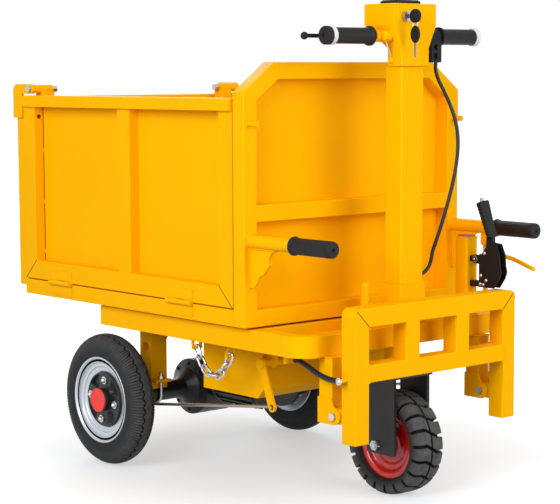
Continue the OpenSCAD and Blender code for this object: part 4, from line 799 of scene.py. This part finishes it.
# %% Grow domes for nuts and rivets
def dome_tree():
    """A turned dome on a flange, set on every point and facing one way."""
    tree = bpy.data.node_groups.new("domes", "GeometryNodeTree")
    given, keys = inputs_of(tree, {"Points": "Geometry", "Across": "Float", "Height": "Float",
                                   "Flange": "Float", "Outward": "Vector", "Finish": "Material"})
    ball = put(tree, "GeometryNodeMeshUVSphere", {}, {"Segments": 20, "Rings": 12, "Radius": 0.5})
    sides = put(tree, "ShaderNodeCombineXYZ", {},
                {0: given["Across"], 1: given["Across"], 2: given["Height"]})
    dome = put(tree, "GeometryNodeTransform", {}, {"Geometry": ball, "Scale": sides})
    washer = put(tree, "GeometryNodeMeshCylinder", {},
                 {"Vertices": 24, "Radius": given["Across"] * given["Flange"], "Depth": given["Height"] * 0.3})
    joined = tree.nodes.new("GeometryNodeJoinGeometry")
    for part in (dome, washer):
        tree.links.new(part.socket, joined.inputs[0])
    aim = put(tree, "FunctionNodeAlignRotationToVector", {"axis": "Z"}, {"Vector": given["Outward"]})
    placed = put(tree, "GeometryNodeInstanceOnPoints", {},
                 {"Points": given["Points"], "Instance": Flow(tree, joined.outputs[0]), "Rotation": aim})
    close_tree(tree, placed, given["Finish"])
    return tree, keys


nut_tree, nut_keys = dome_tree()


def domes(name, body, places, way, across, height, flange=0.66, material=zinc_plate, slot="zinc"):
    """Dome heads on places in millimetres, all facing to the left or to the right."""
    seat = bpy.data.meshes.new(name)
    seat.from_pydata([Vector(place) * MM for place in places], [], [])
    made = grown(name, seat, nut_tree, nut_keys,
                 {"Across": across * MM, "Height": height * MM, "Flange": flange,
                  "Outward": (0.0, float(way), 0.0), "Finish": material})
    keep(made, body, slot)


def ring_of(centre, radius, count, first=0.0):
    """Places round a line across the cart."""
    x, y, z = centre
    return [(x + radius * math.sin(first + t), y, z + radius * math.cos(first + t)) for t in turns(count)]


# %% Set the nuts and rivets
NUT_RING, COVER_RING, COVER_Y, COVER_BOLTS = 52, 62, 60, 8
BRAKE_X, BRAKE_Y, BRAKE_Z, BRACKET_HALF = 574, 226, 507, 12
RIVETS = [(0, 0), (-6, 66), (-17, 11), (-19, -10), (-9, -11)]
SPRING_NUT = (592, -294, 321)
AXLE_X, AXLE_Z = -247, 170
for side, way in SIDES.items():
    x, y, z = middle(side + "_tyre") / MM
    nuts = ring_of((x, y + way * FACE_Y, z), NUT_RING, ARMS, ARM_TURN)
    domes("wheel_nuts_" + side, side + "_wheel", nuts, way, across=15, height=24)
for side, way in SIDES.items():
    face = BRAKE_Y + BRACKET_HALF * way
    rivets = [(BRAKE_X + x, face, BRAKE_Z + z) for x, z in RIVETS]
    domes("bracket_rivets_" + side, "chassis", rivets, way, across=9, height=7, flange=0.5)
    domes("bracket_bolt_" + side, "chassis", [(BRAKE_X - 36, face, BRAKE_Z + 50)], way, across=13, height=12)
    bolts = ring_of((AXLE_X, way * COVER_Y, AXLE_Z), COVER_RING, COVER_BOLTS)
    domes("axle_cover_bolts_" + side, "chassis", bolts, way, across=9, height=12, material=axle_paint,
          slot="black_metal")
domes("spring_nut", "step", [SPRING_NUT], -1, across=13, height=10)
print("nuts and rivets set, pieces so far:", len(kept))

# %% [markdown]
# ## Grips
# The grips are rubber tubes with a flange at the inner end. The bar grips carry white rings near their ends,
# the tipping handles have shallow flutes for the fingers, and the handbrake's sleeve has ribs.
# They could be sculpted, but all of them are round: they are turned, with flutes and ribs as ripples.

# %% Turn the bar grips
BAR_X, BAR_Z = 497, 1095
FLANGE = [(0, 0), (0, 22), (1.5, 23), (6, 23), (7.5, 22), (9, 20), (13, 18.8)]
left_body = FLANGE + [(119, 18.6), (120, 17.5), (132, 17.5), (132, 20.5), (133, 21.4), (143, 21.4), (145, 20),
                      (146, 18.5), (146, 6), (143.5, 6), (143.5, 0)]
left_ring = [(0, 17), (0, 20.4), (0.8, 21.4), (11.2, 21.4), (12, 20.4), (12, 17), (0, 17)]
right_body = FLANGE + [(119, 18.8), (120, 17.6), (130, 17.6), (131, 16), (131, 0)]
right_ring = [(0, 17), (0, 20.5), (0.8, 21.6), (11, 21.6), (12.6, 20), (13, 18), (13, 10), (12.4, 9.5),
              (12.4, 16), (0, 17)]
BAR_PIECES = [
    ("left_bar_grip", grip_rubber, -105, left_body, "steering", "left_grip"),
    ("left_white_ring", white_ring, -225, left_ring, "steering"),
    ("right_bar_grip", grip_rubber, 118, right_body, "throttle", "throttle_grip"),
    ("right_white_ring", white_ring, 238, right_ring, "throttle"),
]
for name, material, y, profile, body, *stands_for in BAR_PIECES:
    outward = (0, math.copysign(1, y), 0)
    made = turned(name, material, ((BAR_X, y, BAR_Z), outward, profile))
    keep(made, body, "grip_rubber", *stands_for)
print("bar grips turned, pieces so far:", len(kept))

# %% Turn the handle grips
FLUTES, FLUTE_DEPTH, FLUTE_FROM, FLUTE_TO, FLUTE_FADE = 10, 0.9, 12, 112, 8
GRIP_X = 493


def flutes(along, turn):
    """Shallow hollows along a handle grip, away from its ends."""
    wave = FLUTE_DEPTH * max(0.0, math.cos(FLUTES * turn)) ** 2
    return wave * ease((along - FLUTE_FROM) / FLUTE_FADE) * ease((FLUTE_TO - along) / FLUTE_FADE)


handle_grip = [(0, 0), (0, 20.8), (1.2, 22), (5, 22), (6.5, 21), (8, 19.6), (14, 19.4), (22, 19.4), (40, 19.4),
               (70, 19.4), (100, 19.4), (106, 19.4), (114, 19.5), (126, 19.3), (129, 18.4), (130, 16.5),
               (130, 4), (127, 4), (127, 0)]
pair = [((GRIP_X, way * HANDLE_Y, HANDLE_Z), X, handle_grip) for way in SIDES.values()]
handle_grips = turned("fluted_handle_grips", grip_rubber, *pair, steps=80, ripple=flutes)
keep(handle_grips, "hopper", "grip_rubber", "handle_grips")
print("handle grip faces:", len(handle_grips.data.polygons))

# %% Turn the handbrake's sleeve and button
SLEEVE, SLEEVE_FOOT, LEAN = 90, (581, BRAKE_Y, 612), math.radians(20.6)
RIB_DEPTH, RIB_PITCH, RIB_FADE = 0.8, 8, 6
up_the_lever = (-math.sin(LEAN), 0, math.cos(LEAN))


def ribs(along, turn):
    """A spiral of ribs on the brake sleeve."""
    wave = RIB_DEPTH * max(0.0, math.sin(2 * math.pi * along / RIB_PITCH + turn))
    return wave * ease(along / RIB_FADE) * ease((SLEEVE - 4 - along) / RIB_FADE)


sleeve = [(0, 0)] + [(d, 12.6 + 3.5 * d / SLEEVE) for d in range(SLEEVE - 1)]
sleeve += [(SLEEVE - 0.5, 15.4), (SLEEVE + 0.5, 13.5), (SLEEVE + 0.5, 5.6), (SLEEVE - 6, 5.6), (SLEEVE - 6, 0)]
brake_sleeve = turned("ribbed_brake_sleeve", grip_rubber, (SLEEVE_FOOT, up_the_lever, sleeve), ripple=ribs)
keep(brake_sleeve, "handbrake", "dark_paint")
button = [(82, 0), (82, 4.6), (98.5, 4.6), (100, 3.6), (100, 0)]
keep(turned("brake_button", dark_steel, (SLEEVE_FOOT, up_the_lever, button)), "handbrake_button",
     slot_of_node["handbrake_button"], "handbrake_button")
print("sleeve faces:", len(brake_sleeve.data.polygons))

# %% [markdown]
# ## Flat pads
# Key bows, the gauge and the plug in the post's top are flat pads with soft edges.
# A scaled cube with a Bevel modifier has straight sides, so one helper draws a rounded outline in a plane,
# from round to nearly square, and gives it a thickness.


# %% A flat pad
def pad(shape, centre, across, along, half_a, half_b, thick, power, edge, steps=48):
    """Adds a pad to a bmesh, in millimetres. A higher power makes it squarer, the edge is its bevel."""
    a, b = Vector(across), Vector(along)
    normal = a.cross(b)
    rows = []
    for lift, inset in ((-thick / 2, edge), (-thick / 2 + edge, 0), (thick / 2 - edge, 0), (thick / 2, edge)):
        row = []
        for t in turns(steps):
            c, s = math.cos(t), math.sin(t)
            u = math.copysign(abs(c) ** (2 / power), c) * (half_a - inset)
            v = math.copysign(abs(s) ** (2 / power), s) * (half_b - inset)
            row.append(shape.verts.new((Vector(centre) + a * u + b * v + normal * lift) * MM))
        rows.append(row)
    skin(shape, rows)
    shape.faces.new(rows[0])
    shape.faces.new(rows[-1])


def pads(name, material, *parts):
    """One piece of one or more pads."""
    shape = bmesh.new()
    for part in parts:
        pad(shape, *part)
    return piece(name, shape, material, crease=40)


# %% Keys, gauge and plug
KEY_X, BLADE_X, LOCK_Y, LOCK_Z = 574, 556, -36, 1140
LOOSE_BOW_Z, LOOSE_BLADE_Z, KEY_RING_Z = 1098, 1062, 1121
WIRE, WIRE_RING, WIRE_STEPS = 1.3, 7.5, 12
GAUGE_X, BARS = 489.5, 5
keep(pads("key_bows", black_plastic,
          ((KEY_X, LOCK_Y, LOCK_Z), X, Z, 17, 16, 9, 2.0, 2.2),
          ((KEY_X, LOCK_Y, LOOSE_BOW_Z), X, Z, 14, 20, 8, 1.8, 2.0),
          ((KEY_X, LOCK_Y, LOCK_Z), X, Z, 9, 9, 11, 2.0, 1.2)), "key", "black_plastic", "ignition_key")
keep(pads("key_blades", dark_steel,
          ((BLADE_X, LOCK_Y, LOCK_Z), X, Z, 9, 3.2, 2.4, 4.0, 0.5),
          ((KEY_X, LOCK_Y, LOOSE_BLADE_Z), X, Z, 3.4, 17.5, 2.4, 4.0, 0.5)), "key", "zinc")
wire = [(WIRE * math.sin(t), WIRE_RING + WIRE * math.cos(t)) for t in turns(WIRE_STEPS)]
keep(turned("key_ring", zinc_plate, ((KEY_X, LOCK_Y, KEY_RING_Z), Y, wire + wire[:1])), "key", "zinc")
keep(pads("gauge_case", black_plastic,
          ((GAUGE_X, 0, 1173.6), X, Y, 30, 42, 7.2, 9.0, 1.6),
          ((GAUGE_X, 0, 1178), X, Y, 27, 39, 2, 8.0, 0.8)), "steering", "black_plastic", "display")
keep(pads("gauge_glass", gauge_glass, ((GAUGE_X, 0, 1178.6), X, Y, 21, 33, 0.7, 10.0, 0.2)),
     "steering", "black_plastic")
bars = [((494 - 2 * i, -20 + 10 * i, 1178.8), X, Y, 6 + 1.6 * i, 2.6, 0.4, 8.0, 0.1) for i in range(BARS)]
keep(pads("gauge_bars", white_ring, *bars), "steering", "black_plastic")
keep(pads("post_plug", plug_red, ((498, BRAKE_Y, 611), X, Y, 17.5, 17.5, 5, 6.0, 1.5)),
     "chassis", "red_plastic")
print("pads set, pieces so far:", len(kept))

# %% [markdown]
# ## Brake perch
# The brake lever's perch is a round yellow boss in front of the bar. A thin bright wire runs from it down into
# a ferrule at the foot of the head. The wire could be a curve, but it is short and straight, so the lathe
# turns it with the rest.

# %% Turn the perch, its wire and the ferrule
PERCH, FERRULE, FERRULE_WAY = (512, -57, BAR_Z), (509, -47, 1046), (-0.1, 0, -1)
WIRE_FOOT, WIRE_HEAD, BRAKE_WIRE = Vector((509, -47, 1044)), Vector((513, -73, 1086)), 1.7


def rod(start, end, radius):
    """A round rod between two places, as a part for the lathe."""
    run = Vector(end) - Vector(start)
    return start, run, [(0, 0), (0, radius), (run.length, radius), (run.length, 0)]


keep(turned("brake_perch", yellow_paint,
            (PERCH, (0, SIDES["left"], 0), [(0, 0), (0, 10.5), (2.5, 13), (22, 13), (25, 10.5), (25, 0)]),
            (FERRULE, FERRULE_WAY, [(0, 0), (0, 5.5), (1.5, 7), (10, 7), (13, 5), (13, 0)])),
     "steering", "yellow_paint")
keep(turned("brake_wire", zinc_plate, rod(WIRE_FOOT, WIRE_HEAD, BRAKE_WIRE)), "steering", "zinc")
print("brake wire:", round((WIRE_HEAD - WIRE_FOOT).length), "mm")

# %% [markdown]
# ## Seams
# The frames are mitred at their corners, and the gate sheets are only tacked to the tubes, so that a dark gap
# stays between the tacks. A groove in a solid would be lost under the paint's light, so the shade in each seam
# is painted: a thin dark rod that is half sunk into the steel. A disc painted dark stands for the shade in the
# drain hole of a gate's tube.

# %% Draw the painted shade in the seams
SEAM, GAP, HOLE = 0.9, 1.7, 6
STEP_FACE, MITRE_IN, MITRE_OUT = 620, (225, 440), (263.5, 478.5)
GATE_FACE, GATE_FOOT, GATE_RAIL, GATE_CORNERS = 360, 463, 513, ((-570, 50), (300, -50))
SHEET_X, SHEET_Y, DRAIN_X, DRAIN_Y, DRAIN_Z = -519.6, 330.4, -520.4, 345, 897
TACKS = [923, 812, 803, 674, 664, 541, 531, 513]
# The step's mitre grooves are painted as shade.
mitre_shade_lines = [rod((STEP_FACE, way * MITRE_IN[0], MITRE_IN[1]), (STEP_FACE, way * MITRE_OUT[0], MITRE_OUT[1]), SEAM)
          for way in SIDES.values()]
keep(turned("step_mitre_shade", seam_shadow, *mitre_shade_lines, steps=8), "step", "yellow_paint")
for side, way in SIDES.items():
    y = way * GATE_FACE
    # The gate corners' mitres, the gaps between the tacks and the drain hole are painted as shade.
    shade_marks = [rod((x, y, GATE_FOOT), (x + run, y, GATE_RAIL), SEAM) for x, run in GATE_CORNERS]
    y = way * SHEET_Y
    shade_marks += [rod((SHEET_X, y, low), (SHEET_X, y, top), GAP) for top, low in zip(TACKS[::2], TACKS[1::2])]
    shade_marks.append(((DRAIN_X, way * DRAIN_Y, DRAIN_Z), X, [(0, 0), (0, HOLE), (0.8, HOLE), (0.8, 0)]))
    keep(turned("gate_shade_marks_" + side, seam_shadow, *shade_marks, steps=12), side + "_gate", "yellow_paint")
    print("seams on the", side, "gate:", len(shade_marks))

# %% [markdown]
# ## Step spring
# A tension spring in a black sleeve runs from the chassis to the step and helps to lift it.
# It crosses the step's hinge. The sleeve is swept as a mesh along the solid's own route, with faint rings
# where the coils press through, and is not attached to the chassis or the step.

# %% Sweep the sleeve
SPRING_ROUTE = [(434, 350), (448, 350), (475, 341), (505.4, 329.1), (534.3, 321.9), (561.7, 319), (586, 321)]
SPRING_Y, SPRING_RADIUS, COIL, SPRING_STEPS = -284, 6.2, 0.3, 24


def between(route, steps):
    """A smooth line through places: each stretch is a cubic that bends as its neighbours lead it."""
    ends = [route[0]] + route + [route[-1]]
    out = []
    for p, q, r, s in zip(ends, ends[1:], ends[2:], ends[3:]):
        for i in range(steps):
            t = i / steps
            out.append(tuple(0.5 * (2 * b + (c - a) * t + (2 * a - 5 * b + 4 * c - d) * t ** 2
                                    + (3 * b - a - 3 * c + d) * t ** 3) for a, b, c, d in zip(p, q, r, s)))
    return out + [route[-1]]


shape, rows = bmesh.new(), []
spring_line = between(SPRING_ROUTE, 14)
for i, (x, z) in enumerate(spring_line):
    before, after = spring_line[max(0, i - 1)], spring_line[min(len(spring_line) - 1, i + 1)]
    run = Vector((after[0] - before[0], after[1] - before[1])).normalized()
    radius = SPRING_RADIUS + COIL * math.cos(math.pi * i)
    row = []
    for t in turns(SPRING_STEPS):
        lift = radius * math.sin(t)
        place = Vector((x - run.y * lift, SPRING_Y + radius * math.cos(t), z + run.x * lift))
        row.append(shape.verts.new(place * MM))
    rows.append(row)
skin(shape, rows)
shape.faces.new(rows[0])
shape.faces.new(rows[-1])
spring = piece("step_spring_sleeve", shape, cable_sheath, crease=45)
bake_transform(spring)
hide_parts("step_spring")
print("sleeve rings:", len(rows))

# %% [markdown]
# ## The studio
# A pale floor, a bright world and three large soft lamps give the even light of a catalogue picture.
# A white floor could be lit until it burns out, but the cart's shadow would go with it. So the floor keeps the
# shadow near the cart, and away from it glows more and more until it is as white as the world. The weaker glow
# near the cart also paints a soft shade round it.

# %% Light the cart
LAMP_SIZE, AIM = 2.6, Vector((0, 0, 0.5))
LAMPS = {"key_lamp": ((1.6, -4.2, 2.6), 176), "fill_lamp": ((4.4, 0.6, 2.0), 100),
         "back_lamp": ((-3.8, 2.4, 2.8), 90)}
WORLD_LIGHT, WORLD_SEEN = 0.40, 0.60
for name, (place, power) in LAMPS.items():
    lamp = bpy.data.lights.new(name, "AREA")
    lamp.size, lamp.energy = LAMP_SIZE, power
    holder = bpy.data.objects.new(name, lamp)
    holder.location = place
    holder.rotation_euler = (AIM - Vector(place)).to_track_quat("-Z", "Y").to_euler()
    scene.collection.objects.link(holder)


def seen(tree):
    """1 for what the camera sees, also in a mirror or through glass, and 0 for other light."""
    rays = tree.nodes.new("ShaderNodeLightPath")
    mirrored = (Flow(tree, rays.outputs[kind]) for kind in ("Is Glossy Ray", "Is Transmission Ray"))
    total = sum(mirrored, Flow(tree, rays.outputs["Is Camera Ray"]))
    return put(tree, "ShaderNodeMath", {"operation": "MINIMUM"}, {0: total, 1: 1.0})


world = bpy.data.worlds.new("studio")
scene.world = world
world.use_nodes = True
sky = world.node_tree
sky.nodes.clear()
light = put(sky, "ShaderNodeBackground", {}, {"Color": (1, 1, 1, 1),
                                              "Strength": WORLD_LIGHT + seen(sky) * WORLD_SEEN})
sky.links.new(light.socket, sky.nodes.new("ShaderNodeOutputWorld").inputs[0])
print("lamps:", len(LAMPS))

# %% Lay the floor
FLOOR_HALF, FLOOR_DROP = 14, 0.0005
NEAR, FAR, NEAR_GLOW = 0.35, 1.6, 0.45
floor_mesh = bpy.data.meshes.new("floor")
corners = [(x * FLOOR_HALF, y * FLOOR_HALF, 0) for x, y in ((-1, -1), (1, -1), (1, 1), (-1, 1))]
floor_mesh.from_pydata(corners, [], [(0, 1, 2, 3)])
floor = bpy.data.objects.new("floor", floor_mesh)
floor.location.z = cad_box[0].z - FLOOR_DROP
scene.collection.objects.link(floor)
floor_finish, tree, shader = new_tree("floor_sweep")
shader.inputs["Base Color"].default_value = (0.46, 0.48, 0.50, 1)
shader.inputs["Roughness"].default_value = 0.9
shader.inputs["Specular IOR Level"].default_value = 0.1
shader.inputs["Emission Strength"].default_value = 1.0
where = put(tree, "ShaderNodeTexCoord", output=3)
away = put(tree, "ShaderNodeVectorMath", {"operation": "LENGTH"}, {0: where}, output=1)
# The glow is weaker near the cart, which paints shade round the cart on top of its real shadow.
sweep = put(tree, "ShaderNodeMapRange", {},
            {"Value": away, "From Min": NEAR, "From Max": FAR, "To Min": NEAR_GLOW})
glow = mix_colour(tree, sweep * seen(tree), (0, 0, 0, 1), (1, 1, 1, 1))
tree.links.new(glow.socket, shader.inputs["Emission Color"])
floor_mesh.materials.append(floor_finish)
print("floor at", round(floor.location.z, 4), "m")
